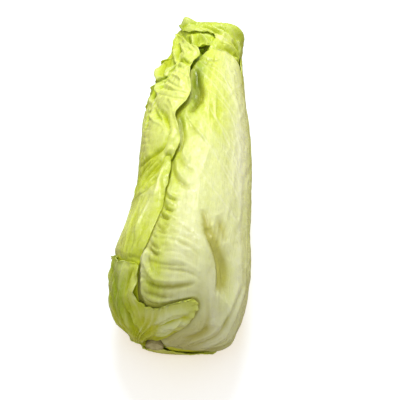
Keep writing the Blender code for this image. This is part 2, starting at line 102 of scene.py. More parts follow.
def through(points, count):
    """A smooth curve through the points: centripetal Catmull-Rom, as rows of samples."""
    points = np.asarray(points, float)
    gaps = np.sqrt(np.linalg.norm(np.diff(points[:, :2], axis=0), axis=1))
    knots = np.concatenate([[0.0], np.cumsum(gaps)])
    points = np.vstack([2 * points[0] - points[1], points, 2 * points[-1] - points[-2]])
    knots = np.concatenate([[-gaps[0]], knots, [knots[-1] + gaps[-1]]])
    k = np.linspace(0.0, knots[-2], count)[:, None]
    i = np.clip(np.searchsorted(knots, k[:, 0], side="right") - 1, 1, len(knots) - 3)
    k0, k1, k2, k3 = [knots[i + n][:, None] for n in (-1, 0, 1, 2)]
    p0, p1, p2, p3 = [points[i + n] for n in (-1, 0, 1, 2)]
    a1 = ((k1 - k) * p0 + (k - k0) * p1) / (k1 - k0)
    a2 = ((k2 - k) * p1 + (k - k1) * p2) / (k2 - k1)
    a3 = ((k3 - k) * p2 + (k - k2) * p3) / (k3 - k2)
    b1 = ((k2 - k) * a1 + (k - k0) * a2) / (k2 - k0)
    b2 = ((k3 - k) * a2 + (k - k1) * a3) / (k3 - k1)
    return ((k2 - k) * b1 + (k - k1) * b2) / (k2 - k1)


HEAD_CURVE = through(HEAD_STATIONS, HEAD_SAMPLES)
HEAD_STEPS = np.linalg.norm(np.diff(HEAD_CURVE[:, :2], axis=0), axis=1)
HEAD_RUN = np.concatenate([[0.0], np.cumsum(HEAD_STEPS)])
SIDE_LENGTH = HEAD_RUN[-1]
SPINE = HEAD_CURVE[np.argmin(HEAD_CURVE[:, 0]) :]


def section(t):
    """y, half width, half height, centre height and centre shift of the head at t."""
    run = np.asarray(t) * SIDE_LENGTH
    return [np.interp(run, HEAD_RUN, HEAD_CURVE[:, i]) for i in range(5)]


def girth(t):
    """Mean radius of the head at t."""
    _, half_width, half_height, _, _ = section(t)
    return (half_width + half_height) / 2


def turned(azimuth, middle):
    """The azimuth less middle, brought within half a turn of 0."""
    return (azimuth - middle + math.pi) % (2 * math.pi) - math.pi


def skin_point(azimuth, t):
    """A point of the head's outer surface, flattened where it lies on the ground."""
    y, half_width, half_height, centre, shift = section(t)
    sine, cosine = np.sin(azimuth), np.cos(azimuth)
    reach = half_width * half_height / np.hypot(half_height * sine, half_width * cosine)
    for middle, row, spread, row_spread, rise in SWELLS:
        across = turned(azimuth, math.radians(middle)) / math.radians(spread)
        reach = reach + rise * np.exp(-(across**2) - ((t - row) / row_spread) ** 2)
    down = np.maximum(-cosine, 1e-3)
    ground = np.where(cosine < -1e-3, centre / down, 1.0)
    blend = np.maximum(FLOOR_BLEND - np.abs(reach - ground), 0.0) / FLOOR_BLEND
    reach = np.minimum(reach, ground) - blend**2 * FLOOR_BLEND / 4
    return np.stack([shift + reach * sine, y + 0 * reach, centre + reach * cosine], axis=-1)


def outward(azimuth, t):
    """The direction in which layers are counted: away from a spine inside the head."""
    point = skin_point(azimuth, t)
    spine_y = np.clip(point[..., 1], *SPINE_ENDS)
    centre, shift = [np.interp(spine_y, SPINE[:, 0], SPINE[:, i]) for i in (3, 4)]
    away = point - np.stack([shift, spine_y, centre], axis=-1)
    return away / np.linalg.norm(away, axis=-1, keepdims=True)


ROUGH_CELLS = 64


def rough(x, y, seed):
    """Smooth random values from -1 to 1 that change over a unit of x and y."""
    table = np.random.default_rng(seed).uniform(-1, 1, (ROUGH_CELLS, ROUGH_CELLS))
    i, j = np.floor(x).astype(int), np.floor(y).astype(int)
    p, q = smooth_step(x - i), smooth_step(y - j)
    i, j = i % ROUGH_CELLS, j % ROUGH_CELLS
    k, m = (i + 1) % ROUGH_CELLS, (j + 1) % ROUGH_CELLS
    low = table[i, j] * (1 - p) + table[k, j] * p
    high = table[i, m] * (1 - p) + table[k, m] * p
    return low * (1 - q) + high * q


def flat_place(azimuth, t):
    """The place laid out flat, in metres across and along the head."""
    return np.stack([azimuth * girth(t), t * SIDE_LENGTH], axis=-1)


def distance_to(line, azimuth, t, middle=None):
    """Distance to a line of azimuths and t values, negative on its right, and the share met."""
    middle = line[:, 0].mean() if middle is None else middle
    spot = flat_place(turned(azimuth, middle) + middle, t)
    ends = flat_place(line[:, 0], line[:, 1])
    best = np.full(azimuth.shape, 1.0)
    share = np.zeros(azimuth.shape)
    steps = np.linalg.norm(np.diff(ends, axis=0), axis=1)
    before = np.concatenate([[0.0], np.cumsum(steps)])
    for a, b, start, step in zip(ends, ends[1:], before, steps):
        if step < 1e-9:
            continue
        way, gone = b - a, spot - a
        along = np.clip((gone @ way) / step**2, 0.0, 1.0)
        away = np.linalg.norm(gone - along[..., None] * way, axis=-1)
        side = np.where(way[0] * gone[..., 1] > way[1] * gone[..., 0], 1.0, -1.0)
        nearer = away < np.abs(best)
        best = np.where(nearer, away * side, best)
        share = np.where(nearer, (start + along * step) / before[-1], share)
    return best, share


SLANT_START = 0.08
COVER_EDGE = (0.0005, 0.0070)
VIEW_EDGE = (0.0003, 0.0030)
FOLD_POINT = 1.35
FOLD_SAMPLES = 24
MARGIN_SAMPLES = 400
MARGIN_STRETCH = 3
OUTLINE_SKIP = 6


def degree_line(points, count):
    """A smooth line through points of azimuth in degrees and t."""
    return through([(math.radians(u), row) for u, row in points], count)


class Leaf:
    """A leaf's margins, and the folds that it presses into the leaves beneath."""

    def __init__(self, margins, folds=(), slant=(0.0, 0.0)):
        self.slant = slant
        sides = [[(row[0] * MARGIN_STRETCH, math.radians(row[n])) for row in margins] for n in (1, 2)]
        left, right = [through(side, MARGIN_SAMPLES)[:, ::-1] / (1, MARGIN_STRETCH) for side in sides]
        left[:, 1], right[:, 1] = left[:, 1].clip(0, 1), right[:, 1].clip(0, 1)
        steps = [np.linalg.norm(np.diff(flat_place(*m.T), axis=0), axis=1) for m in (left, right)]
        run = np.concatenate([[0.0], np.cumsum((steps[0] + steps[1]) / 2)])
        self.left, self.right, self.run = left, right, run
        self.length = run[-1]
        up, down = left[::OUTLINE_SKIP], right[::-OUTLINE_SKIP]
        self.outline = np.vstack([up, left[-1:], down, right[:1], left[:1]])
        self.outline[:, 1] = self.slanted(*self.outline.T)
        self.middle = (left[:, 0].min() + right[:, 0].max()) / 2
        self.folds = folds

    def place(self, across, along):
        """Azimuth and t, from shares of the leaf's width and length."""
        at = along * self.length
        ends = [np.interp(at, self.run, m[:, i]) for m in (self.left, self.right) for i in (0, 1)]
        azimuth = ends[0] * (1 - across) + ends[2] * across
        t = ends[1] * (1 - across) + ends[3] * across
        return azimuth, self.slanted(azimuth, t)

    def slanted(self, azimuth, t):
        """The t of a place, raised towards the right by so much per degree past an azimuth."""
        start, rate = self.slant
        past = np.maximum(np.degrees(azimuth) - start, 0.0)
        return t + rate * past * smooth_step(t / SLANT_START)

    def past_margin(self, azimuth, t, far):
        """How far past the margin each place is: 0 under the leaf, and no more than far."""
        past = np.full(azimuth.shape, far)
        u = turned(azimuth, self.middle) + self.middle
        low, high = self.outline.min(axis=0), self.outline.max(axis=0)
        reach = far / girth(t)
        close = (u > low[0] - reach) & (u < high[0] + reach)
        close &= (t > low[1] - far / SIDE_LENGTH) & (t < high[1] + far / SIDE_LENGTH)
        if not close.any():
            return past
        u, t = u[close], t[close]
        away, _ = distance_to(self.outline, u, t, self.middle)
        inside = np.zeros(u.shape, bool)
        for (ua, ta), (ub, tb) in zip(self.outline, self.outline[1:]):
            if ta == tb:
                continue
            crosses = (ta > t) != (tb > t)
            inside ^= crosses & (u < ua + (t - ta) / (tb - ta) * (ub - ua))
        past[close] = np.minimum(np.where(inside, 0.0, np.abs(away)), far)
        return past

    def covers(self, azimuth, t):
        """1 under the leaf, falling to 0 past its margin: slowly as depth, and at once as view."""
        past = self.past_margin(azimuth, t, COVER_EDGE[1])
        return [smooth_step((far - past) / (far - near)) for near, far in (COVER_EDGE, VIEW_EDGE)]


def fold(points, width, height, lean=0.0):
    """A crease or ridge along points of azimuth and t, with its width and height in millimetres.
    Leaning makes its left side gentler."""
    line = degree_line(points, FOLD_SAMPLES)
    width, height = width * MM, height * MM

    def rise(azimuth, t):
        away, share = distance_to(line, azimuth, t)
        fade = np.sqrt(np.clip(np.sin(math.pi * share), 0, 1))
        wide = width * np.where(away > 0, 1 + lean, 1 - lean)
        return height * fade * np.exp(-(np.abs(away / wide) ** FOLD_POINT))

    reach = 3 * width * (1 + abs(lean)) / SIDE_LENGTH
    return rise, height, line[:, 1].min() - reach, line[:, 1].max() + reach


FAN_SHIFT = 0.3
FAN_SCATTER = (1.5, 0.003)


def fan(first, last, count, width, height, lean, seed):
    """Folds spread evenly from the first line to the last, each a little different."""
    chance = np.random.default_rng(seed)
    first, last = np.array(first, float), np.array(last, float)
    folds = []
    for share in np.linspace(0, 1, count):
        share += chance.uniform(-FAN_SHIFT, FAN_SHIFT) / count
        line = first + (last - first) * share + chance.uniform(-1, 1, first.shape) * FAN_SCATTER
        folds.append(fold(line, width * chance.uniform(0.8, 1.2), height * chance.uniform(0.6, 1.3), lean))
    return folds


def bulge(azimuth_degrees, row, across, along, height, turn=0.0, edge=2.0):
    """A rounded rise, or a hollow if its height is negative, with its sizes in millimetres.
    A high edge value makes it steep."""
    across, along, height = across * MM, along * MM, height * MM
    middle = math.radians(azimuth_degrees)
    cosine, sine = math.cos(math.radians(turn)), math.sin(math.radians(turn))
    centre = flat_place(np.array(middle), np.array(row))

    def rise(azimuth, t):
        away = flat_place(turned(azimuth, middle) + middle, t) - centre
        x = (away[..., 0] * cosine + away[..., 1] * sine) / across
        y = (away[..., 1] * cosine - away[..., 0] * sine) / along
        return height * np.exp(-((x**2 + y**2) ** (edge / 2)))

    reach = 3 * max(across, along) / SIDE_LENGTH
    return rise, height, row - reach, row + reach


def pressed(folds, azimuth, t, only_inward=False):
    """The sum of folds and bulges, or of the hollows alone."""
    total = np.zeros(azimuth.shape)
    for rise, height, low, high in folds:
        if only_inward and height > 0:
            continue
        near = (t > low) & (t < high)
        if near.any():
            total[near] += rise(azimuth[near], t[near])
    return total


WAVE_DRIFT = 0.35
WAVE_DRIFT_LENGTH = 1.7


def waves(along, length, seed):
    """Uneven waves along a margin, from 0 to 1."""
    slow = rough(along / length / WAVE_DRIFT_LENGTH, 0.3 + 0 * along, seed)
    return 0.5 + 0.5 * np.sin(2 * math.pi * (along / length + WAVE_DRIFT * slow) + seed)


HIDDEN_STRETCH = 4.0
# Painted shade: the crease depth at which it is full, and how much shade is painted towards the base and up
# to which t.
CREASE_SHADE_FULL = 0.0022
BASE_SHADE = 0.90
BASE_SHADE_END = 0.17
VEIN_RISE = 0.0004
VEIN_TAPER = 0.7
VEIN_FADE = 0.6
MARGIN_GREEN_REACH = 0.008
UV_SCALE = 10
FRILL_POINT = 1.5
FINE_RIPPLE = 0.22
FINE_RIPPLE_LENGTH = 1 / 3.1
CURL_LEAST = 0.35
CURL_LENGTH = 0.93

# Crinkles of a leaf: how many per metre across and along, and the seed
BEND = (45, 30, 70)
CREASES = (150, 42, 71)
SMALL_CRINKLES = (330, 200, 72)
BROAD_CRINKLES = (60, 36, 73)
GREEN_CLOUDS = (60, 30, 5)
outer_leaves = []


def crinkled(laid, kind, bend=(0, 0)):
    """Random values of one kind over places laid out flat."""
    across, along, seed = kind
    return rough(laid[:, 0] * across + bend[0], laid[:, 1] * along + bend[1], seed)


def read_places(mesh):
    """The places of a mesh's vertices, as rows."""
    flat = np.empty(len(mesh.vertices) * 3)
    mesh.vertices.foreach_get("co", flat)
    return flat.reshape(-1, 3)


def write_values(mesh, **values):
    """Values for the material at every vertex, kept within 0 and 1."""
    for label, value in values.items():
        attribute = mesh.attributes.new(label, "FLOAT", "POINT")
        attribute.data.foreach_set("value", np.clip(value, 0, 1).astype(np.float32))


def grow_leaf(node, name, material, margins, slant=(0.0, 0.0), spacing=FINE, crumple=0.5, hidden=0.0,
              shade=0.9, folds=(), fans=(), bulges=(), edges=(), veins=(), patches=(),
              greenness=(0.1, 0.2, 0.5)):
    """A leaf as a fine sheet. Lengths in its lists are in millimetres. margins: t, azimuth of the
    left margin, azimuth of the right one. edges: side, reach, lift, wave, wave length, curl, seed,
    fade in. patches: azimuth, t, reach across, reach along, green added. shade: how much shade is
    painted under the margins of the leaves above."""
    presses = [fold(*row) for row in folds]
    presses += [line for row in fans for line in fan(*row)]
    presses += [bulge(*row) for row in bulges]
    leaf = Leaf(margins, presses, slant)
    across_max = max(np.linalg.norm(flat_place(*leaf.right.T) - flat_place(*leaf.left.T), axis=1))
    columns = int(across_max / spacing)
    hidden_rows = leaf.length * hidden / (HIDDEN_STRETCH * spacing)
    shown_rows = leaf.length * (1 - hidden) / spacing
    bpy.ops.mesh.primitive_grid_add(
        x_subdivisions=columns, y_subdivisions=int(hidden_rows + shown_rows), size=1
    )
    piece = bpy.context.object
    piece.name = piece.data.name = name
    count = len(piece.data.vertices)
    a, b, _ = read_places(piece.data).T + 0.5
    b = np.interp(b, [0, hidden_rows / (hidden_rows + shown_rows), 1], [0, hidden, 1])
    azimuth, t = leaf.place(a, b)
    width = np.linalg.norm(flat_place(*leaf.place(1 + 0 * a, b)) - flat_place(*leaf.place(0 * a, b)), axis=1)
    from_side = {"left": a * width, "right": (1 - a) * width, "tip": (1 - b) * leaf.length}
    along_side = {"left": b * leaf.length, "right": b * leaf.length, "tip": a * width}

    depth, in_view = np.zeros(count), np.ones(count)
    relief = np.zeros(count)
    for other in outer_leaves:
        covered, out_of_view = other.covers(azimuth, t)
        depth += PITCH * covered
        in_view *= 1 - out_of_view
        relief += pressed(other.folds, azimuth, t, only_inward=True)
    calm = smooth_step((skin_point(azimuth, t)[:, 2] - FLOOR_CALM[0]) / (FLOOR_CALM[1] - FLOOR_CALM[0]))
    free = in_view * calm
    relief += pressed(presses, azimuth, t) * in_view
    laid = flat_place(azimuth, t)
    bend = crinkled(laid, BEND)
    creased = 1 - 2 * np.abs(crinkled(laid, CREASES, (1.5 * bend, bend)))
    small = crinkled(laid, SMALL_CRINKLES, (bend, 0))
    broad = crinkled(laid, BROAD_CRINKLES)
    relief += crumple * MM * (0.8 * creased + 0.45 * small + 0.9 * broad) * free

    vein = np.zeros(count)
    for line, line_width, strength in veins:
        near = (t > line[:, 1].min() - 0.01) & (t < line[:, 1].max() + 0.01)
        away, share = distance_to(line, azimuth[near], t[near])
        wide = line_width * (1 - VEIN_TAPER * share)
        drawn = strength * (1 - VEIN_FADE * share) * np.exp(-((away / wide) ** 2))
        vein[near] = np.maximum(vein[near], drawn)
    relief += VEIN_RISE * vein * free

    lift, shift = np.zeros(count), np.zeros(count)
    for side, reach, steady, wave, wave_length, curl, seed, fade in edges:
        from_edge, along = from_side[side], along_side[side]
        wave_length = wave_length * MM
        near = smooth_step(1 - from_edge / (reach * MM)) ** FRILL_POINT
        present = smooth_step((t - fade[0]) / (fade[1] - fade[0])) * free
        ripple = waves(along, wave_length, seed)
        fine = waves(along, wave_length * FINE_RIPPLE_LENGTH, seed + 1)
        lift += near * present * MM * (steady + wave * ripple + abs(wave) * FINE_RIPPLE * fine)
        slow = CURL_LEAST + (1 - CURL_LEAST) * waves(along, wave_length * CURL_LENGTH, seed + 2)
        sway = near**FRILL_POINT * present * curl * MM * slow
        if side == "left":
            shift += sway
        if side == "right":
            shift -= sway
        if side == "tip":
            t = t - sway / SIDE_LENGTH
    azimuth = azimuth + shift / girth(t)

    point = skin_point(azimuth, t)
    place = point + outward(azimuth, t) * (lift + relief - depth)[:, None]
    place[:, 2] = np.maximum(place[:, 2], 0.0)
    piece.data.vertices.foreach_set("co", place.astype(np.float32).ravel())

    corner = np.empty(len(piece.data.loops), np.int64)
    piece.data.loops.foreach_get("vertex_index", corner)
    uv = piece.data.uv_layers.active.data
    uv.foreach_set("uv", (laid[corner] * UV_SCALE).astype(np.float32).ravel())
    base, margin, tip = greenness
    green = base + (tip - base) * b
    green += margin * np.exp(-np.minimum(a, 1 - a) * width / MARGIN_GREEN_REACH)
    green += 0.06 * crinkled(laid, GREEN_CLOUDS)
    for patch_azimuth, row, across, along, amount in patches:
        x = turned(azimuth, math.radians(patch_azimuth)) * girth(t) / (across * MM)
        y = (t - row) * SIDE_LENGTH / (along * MM)
        green += amount * np.exp(-(x**2) - y**2)
    # The hollow value is painted light: shade in creases, under the margins of the leaves above and towards
    # the base, and a painted highlight on raised folds.
    hollow = np.clip(-relief / CREASE_SHADE_FULL, -0.6, 1) * in_view + shade * (1 - in_view)
    hollow += BASE_SHADE * (1 - smooth_step(t / BASE_SHADE_END))
    write_values(piece.data, greenness=green, vein=vein, hollow=0.5 + 0.5 * hollow)

    thickness = piece.modifiers.new("thickness", "SOLIDIFY")
    thickness.thickness = BLADE
    thickness.offset = -1
    bpy.ops.object.modifier_apply(modifier=thickness.name)
    bpy.ops.object.shade_smooth()
    piece.data.materials.append(material)
    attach(piece, "root")
    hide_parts(node)
    outer_leaves.append(leaf)
    bpy.ops.object.select_all(action="DESELECT")


RIB_SAMPLES = 40
RIB_STRENGTH = 0.8
VEIN_STEPS = 7
SIDE_VEIN_WIDTH = 0.0009


def vein_line(*points, width=1.2, strength=0.9):
    """One vein along points of azimuth and t, from its thick end. The width is in millimetres."""
    return degree_line(points, FOLD_SAMPLES), width * MM, strength


def rib_and_veins(rib, count, left_reach, right_reach, slope=1.25, rib_width=2.2, strength=0.55):
    """The rib of a leaf along points of azimuth and t, and side veins that curve up from it."""
    line = degree_line(rib, RIB_SAMPLES)
    veins = [(line, rib_width * MM, RIB_STRENGTH)]
    chance = np.random.default_rng(len(rib) + count)
    for number in range(count):
        share = 0.08 + 0.86 * (number + chance.uniform(-0.2, 0.2)) / count
        start = line[int(share * (RIB_SAMPLES - 1))]
        for reach, way in ((left_reach, -1), (right_reach, 1)):
            run = reach * MM * chance.uniform(0.75, 1.1)
            steps = np.linspace(0, 1, VEIN_STEPS)
            across = way * run * (steps - 0.18 * steps**2 + 0.02 * np.sin(steps * 9 + number))
            along = slope * run * (steps * 0.75 + 0.25 * steps**2)
            t = start[1] + along / SIDE_LENGTH
            azimuth = start[0] + across / girth(np.minimum(t, 1.0))
            kept = t < 0.99
            if kept.sum() > 2:
                path = np.column_stack([azimuth, t])[kept]
                veins.append((path, SIDE_VEIN_WIDTH, strength * chance.uniform(0.5, 1.0)))
    return veins


CREAM = (0.86, 0.87, 0.50)
YELLOW_GREEN = (0.60, 0.69, 0.060)
GREEN = (0.27, 0.40, 0.010)
# The colour multiplied in where shade is painted.
PAINTED_SHADE_COLOUR = (0.80, 0.80, 0.10)
MOTTLE = 0.22
BLISTERS = 420.0


def new_group(name, inputs, outputs):
    """An empty node group with named sockets."""
    group = bpy.data.node_groups.new(name, "ShaderNodeTree")
    for way, sockets in (("INPUT", inputs), ("OUTPUT", outputs)):
        for label, kind in sockets.items():
            group.interface.new_socket(label, in_out=way, socket_type="NodeSocket" + kind)
    return group, group.nodes.new("NodeGroupInput").outputs, group.nodes.new("NodeGroupOutput").inputs


def add_node(tree, kind, inputs=None, **settings):
    """A shader node. Each input takes a value or is linked from a socket."""
    node = tree.nodes.new("ShaderNode" + kind)
    for name, value in settings.items():
        setattr(node, name, value)
    for name, value in (inputs or {}).items():
        if isinstance(value, bpy.types.NodeSocket):
            tree.links.new(value, node.inputs[name])
        else:
            node.inputs[name].default_value = value
    return node


def calculate(tree, operation, *values):
    """The result of one calculation on values and sockets."""
    return add_node(tree, "Math", dict(enumerate(values)), operation=operation).outputs[0]


def remap(tree, value, low, high, to_low=0.0, to_high=1.0):
    """A value moved from one range to another."""
    ends = {"Value": value, "From Min": low, "From Max": high, "To Min": to_low, "To Max": to_high}
    return add_node(tree, "MapRange", ends).outputs[0]


def mix_colours(tree, share, first, second, blend="MIX"):
    """Two colours mixed by a share."""
    inputs = {0: share, 6: first, 7: second}
    return add_node(tree, "Mix", inputs, data_type="RGBA", blend_type=blend).outputs[2]


def noise(tree, vector, scale, detail, roughness=0.5):
    """The sockets of a noise texture."""
    inputs = {"Vector": vector, "Scale": scale, "Detail": detail, "Roughness": roughness}
    return add_node(tree, "TexNoise", inputs).outputs


def stretched(tree, uv, across, along):
    """UV places scaled across and along the leaf."""
    return add_node(tree, "Mapping", {"Vector": uv, "Scale": (across, along, 1.0)}).outputs[0]


def make_leaf_colour_group():
    """Cream at the rib, yellow-green in the blade and green at the margin, with a pale net of veins, painted
    shade in hollows and a painted highlight on raised folds.
    """
    group, given, result = new_group(
        "leaf colour",
        {"Greenness": "Float", "Vein": "Float", "Hollow": "Float",
         "Cream": "Color", "Blade": "Color", "Deep": "Color", "Sunk": "Color"},
        {"Colour": "Color"},
    )
    place = add_node(group, "TexCoord").outputs
    mottle = calculate(group, "MULTIPLY", noise(group, place["Object"], 70.0, 4.0, 0.6)["Fac"], MOTTLE)
    greener = calculate(group, "ADD", given["Greenness"], calculate(group, "SUBTRACT", mottle, MOTTLE / 2))
    lower = mix_colours(group, remap(group, greener, 0.0, 0.5), given["Cream"], given["Blade"])
    ground = mix_colours(group, remap(group, greener, 0.5, 1.0), lower, given["Deep"])

    flat = stretched(group, place["UV"], 16.0, 11.0)
    bend = noise(group, flat, 1.3, 2.0)["Color"]
    bent = add_node(group, "VectorMath", {0: flat, 1: bend}, operation="ADD").outputs[0]
    cells = add_node(group, "TexVoronoi", {"Vector": bent, "Scale": 1.0}, feature="DISTANCE_TO_EDGE")
    net = remap(group, cells.outputs["Distance"], 0.0, 0.09, 0.15, 0.0)
    veined = mix_colours(group, calculate(group, "MAXIMUM", net, given["Vein"]), ground, given["Cream"])

    streak = noise(group, stretched(group, place["UV"], 110.0, 5.0), 1.0, 3.0, 0.6)["Fac"]
    streaked = mix_colours(group, remap(group, streak, 0.5, 0.72, 0.0, 0.18), veined, given["Cream"])
    # Painted shade: hollow values above one half multiply in the shade colour, and values below it, on
    # raised folds, mix in cream as a painted highlight.
    sunk = remap(group, given["Hollow"], 0.5, 1.0)
    shaded_colour = mix_colours(group, sunk, streaked, given["Sunk"], "MULTIPLY")
    crest_highlight = remap(group, given["Hollow"], 0.5, 0.15, 0.0, 0.25)
    group.links.new(mix_colours(group, crest_highlight, shaded_colour, given["Cream"]), result["Colour"])
    return group


def make_leaf_grain_group():
    """Blisters between the small veins, and fine lines that run along the leaf."""
    group, given, result = new_group(
        "leaf grain", {"Blister Scale": "Float", "Lines": "Float"}, {"Height": "Float", "Roughness": "Float"}
    )
    place = add_node(group, "TexCoord").outputs
    soft = noise(group, place["Object"], 130.0, 3.0)["Fac"]
    blister = noise(group, place["Object"], given["Blister Scale"], 2.0)["Fac"]
    streak = noise(group, stretched(group, place["UV"], 90.0, 5.0), 1.0, 3.0)["Fac"]
    lined = calculate(group, "MULTIPLY", streak, given["Lines"])
    group.links.new(calculate(group, "MULTIPLY_ADD", blister, 0.5, lined), result["Height"])
    group.links.new(remap(group, soft, 0.3, 0.7, 0.18, 0.42), result["Roughness"])
    return group


leaf_colour_group = make_leaf_colour_group()
leaf_grain_group = make_leaf_grain_group()


def leaf_material(name, blade=YELLOW_GREEN, deep=GREEN, sunk=PAINTED_SHADE_COLOUR, lines=0.5):
    """A leaf's surface, coloured by the values written at its vertices, with painted shade and highlights.
    """
    material = bpy.data.materials.new(name)
    material.use_nodes = True
    tree = material.node_tree
    shader = tree.nodes["Principled BSDF"].inputs
    inputs = {}
    for label in ("Greenness", "Vein", "Hollow"):
        inputs[label] = add_node(tree, "Attribute", attribute_name=label.lower()).outputs["Fac"]
    for label, rgb in (("Cream", CREAM), ("Blade", blade), ("Deep", deep), ("Sunk", sunk)):
        inputs[label] = (*rgb, 1.0)
    colour = add_node(tree, "Group", inputs, node_tree=leaf_colour_group)
    grain = add_node(tree, "Group", {"Blister Scale": BLISTERS, "Lines": lines}, node_tree=leaf_grain_group)
    raised = add_node(tree, "Bump", {"Strength": 0.4, "Distance": 0.001, "Height": grain.outputs["Height"]})
    tree.links.new(colour.outputs["Colour"], shader["Base Color"])
    tree.links.new(grain.outputs["Roughness"], shader["Roughness"])
    tree.links.new(raised.outputs["Normal"], shader["Normal"])
    shader["Subsurface Weight"].default_value = 0.35
    shader["Subsurface Radius"].default_value = (1.0, 1.0, 0.25)
    shader["Subsurface Scale"].default_value = 0.003
    shader["Specular IOR Level"].default_value = 0.3
    return material


grow_leaf(
    "leaf_under", "under_blade", leaf_material("underside leaf"),
    margins=[
        (0, 148, 214), (0.08, 128, 232), (0.217, 112, 246), (0.462, 107, 251), (0.657, 116, 245),
        (0.785, 134, 232), (0.843, 154, 212), (0.868, 176, 190),
    ],
    spacing=COARSE, greenness=(0.02, 0.2, 0.5),
    edges=[
        ("left", 12, 0.6, 2.6, 34, 2, 3, (0.02, 0.1)), ("right", 20, 1.2, 3.5, 43, 2, 4, (0.03, 0.15)),
    ],
    veins=rib_and_veins([(181, 0), (182, 0.8)], 9, 50, 50, rib_width=4),
)


# The short leaf at the lower left
# The lowest leaf on this side wraps round the base. Its free edge is drawn in pleats.
grow_leaf(
    "leaf_lower_left", "lower_left_blade", leaf_material("lower left leaf", deep=(0.36, 0.48, 0.01)),
    margins=[
        (0, -128, 14), (0.055, -140, 20), (0.085, -143, 24), (0.098, -143, 21), (0.1, -143, 4),
        (0.101, -143, -16), (0.108, -143, -29), (0.12, -142, -36), (0.136, -142, -38), (0.16, -140, -34),
        (0.186, -136, -33), (0.201, -134, -42), (0.214, -131, -56), (0.232, -125, -64),
        (0.25, -115, -80), (0.262, -104, -92),
    ],
    slant=(-17, 0.00068), crumple=0.9, greenness=(0.2, 0.12, 0.56),
    folds=[
        ([(16, 0.1), (1, 0.093), (-15, 0.079), (-29, 0.066)], 2, 2.6, -0.3),
        ([(-22, 0.061), (-8, 0.071), (4, 0.082), (19, 0.089)], 2, -2.6),
        ([(-15, 0.045), (-9, 0.061), (1, 0.071), (19, 0.077)], 1.5, 2.4, -0.3),
        ([(-15, 0.042), (-3, 0.053), (9, 0.067)], 1.3, -1.8),
        ([(-16, 0.033), (2, 0.045), (11, 0.057), (19, 0.06)], 1.2, 1.8),
        ([(-18, 0.024), (0, 0.034), (12, 0.044)], 1.2, -1.4),
        ([(-64, 0.118), (-68, 0.09), (-72, 0.065)], 1.8, 2),
        ([(-58, 0.118), (-60, 0.09), (-62, 0.06)], 1.6, -2.2),
        ([(-54, 0.11), (-53, 0.078), (-46, 0.045)], 1.6, 1.8),
        ([(-86, 0.19), (-80, 0.15), (-82, 0.11)], 2, -2),
        ([(-74, 0.22), (-68, 0.18), (-60, 0.14)], 2.5, -1.6),
        ([(-38, 0.185), (-46, 0.165), (-50, 0.14)], 1.8, -2.4),
        ([(-46, 0.195), (-55, 0.17), (-60, 0.135)], 1.8, 2),
        ([(-90, 0.235), (-98, 0.19), (-104, 0.14)], 2.2, 2.2),
        ([(-100, 0.225), (-108, 0.18), (-112, 0.13)], 2.2, -2.4),
    ],
    fans=[
        ([(-16, 0.028), (-2, 0.038), (8, 0.052)],
         [(-20, 0.066), (-4, 0.078), (12, 0.09)], 6, 1.1, 2.6, 0.3, 19),
        ([(-100, 0.06), (-92, 0.1), (-88, 0.15)],
         [(-60, 0.05), (-54, 0.09), (-50, 0.13)], 6, 1.2, -1.4, 0, 20),
    ],
    bulges=[(-40, 0.138, 7, 7, 2.2, 0, 3), (-56, 0.205, 12, 8, 1.8, -20, 3)],
    edges=[("right", 6, -0.8, 2.2, 9, 1, 8, (0.06, 0.12))],
    veins=rib_and_veins([(-76, 0), (-84, 0.12), (-98, 0.24)], 6, 50, 70),
    patches=[(-68, 0.17, 16, 30, 0.75), (-95, 0.05, 30, 20, 0.35), (-10, 0.06, 50, 20, -0.2)],
)


# The second leaf on the left
# It rises from behind the first and lies flat against the head, ending below the middle.
grow_leaf(
    "leaf_left_low", "second_left_blade", leaf_material("second left leaf"),
    margins=[
        (0, -150, -78), (0.08, -160, -44), (0.15, -162, -37), (0.205, -163, -33), (0.235, -162, -27),
        (0.288, -160, -23), (0.336, -155, -20), (0.344, -146, -20), (0.362, -132, -20),
        (0.365, -118, -20), (0.367, -102, -20), (0.376, -88, -20), (0.379, -62, -20), (0.384, -44, -20),
        (0.4, -34, -19), (0.422, -31, -19), (0.445, -29, -19), (0.466, -27, -20), (0.48, -25, -22),
    ],
    crumple=0.6, hidden=0.36, greenness=(0.26, 0.1, 0.46),
    folds=[
        ([(-30, 0.222), (-34, 0.208), (-36, 0.19)], 2.2, -1.2),
        ([(-48, 0.215), (-37, 0.21)], 1.6, -1.2),
        ([(-44, 0.35), (-40, 0.3), (-42, 0.25)], 2.4, 1.2),
        ([(-25, 0.47), (-27, 0.44), (-29, 0.4), (-30, 0.35)], 1.6, 1),
    ],
    fans=[
        ([(-66, 0.375), (-68, 0.33), (-70, 0.27)],
         [(-36, 0.375), (-40, 0.34), (-44, 0.29)], 7, 1.4, -1.6, 0, 31),
        ([(-62, 0.365), (-64, 0.32), (-66, 0.26)],
         [(-32, 0.365), (-36, 0.33), (-40, 0.27)], 6, 1.3, 1.3, 0, 32),
        ([(-62, 0.27), (-60, 0.24), (-58, 0.21)],
         [(-34, 0.29), (-36, 0.25), (-40, 0.215)], 5, 1.4, -1.2, 0, 33),
    ],
    edges=[
        ("right", 7, -1.2, 0.6, 22, 0, 11, (0.03, 0.12)), ("left", 6, -1, 0.8, 16, 0, 12, (0.34, 0.36)),
    ],
    veins=rib_and_veins([(-112, 0), (-104, 0.2), (-98, 0.36)], 8, 50, 70),
    patches=[(-40, 0.24, 12, 30, 0.15)],
)


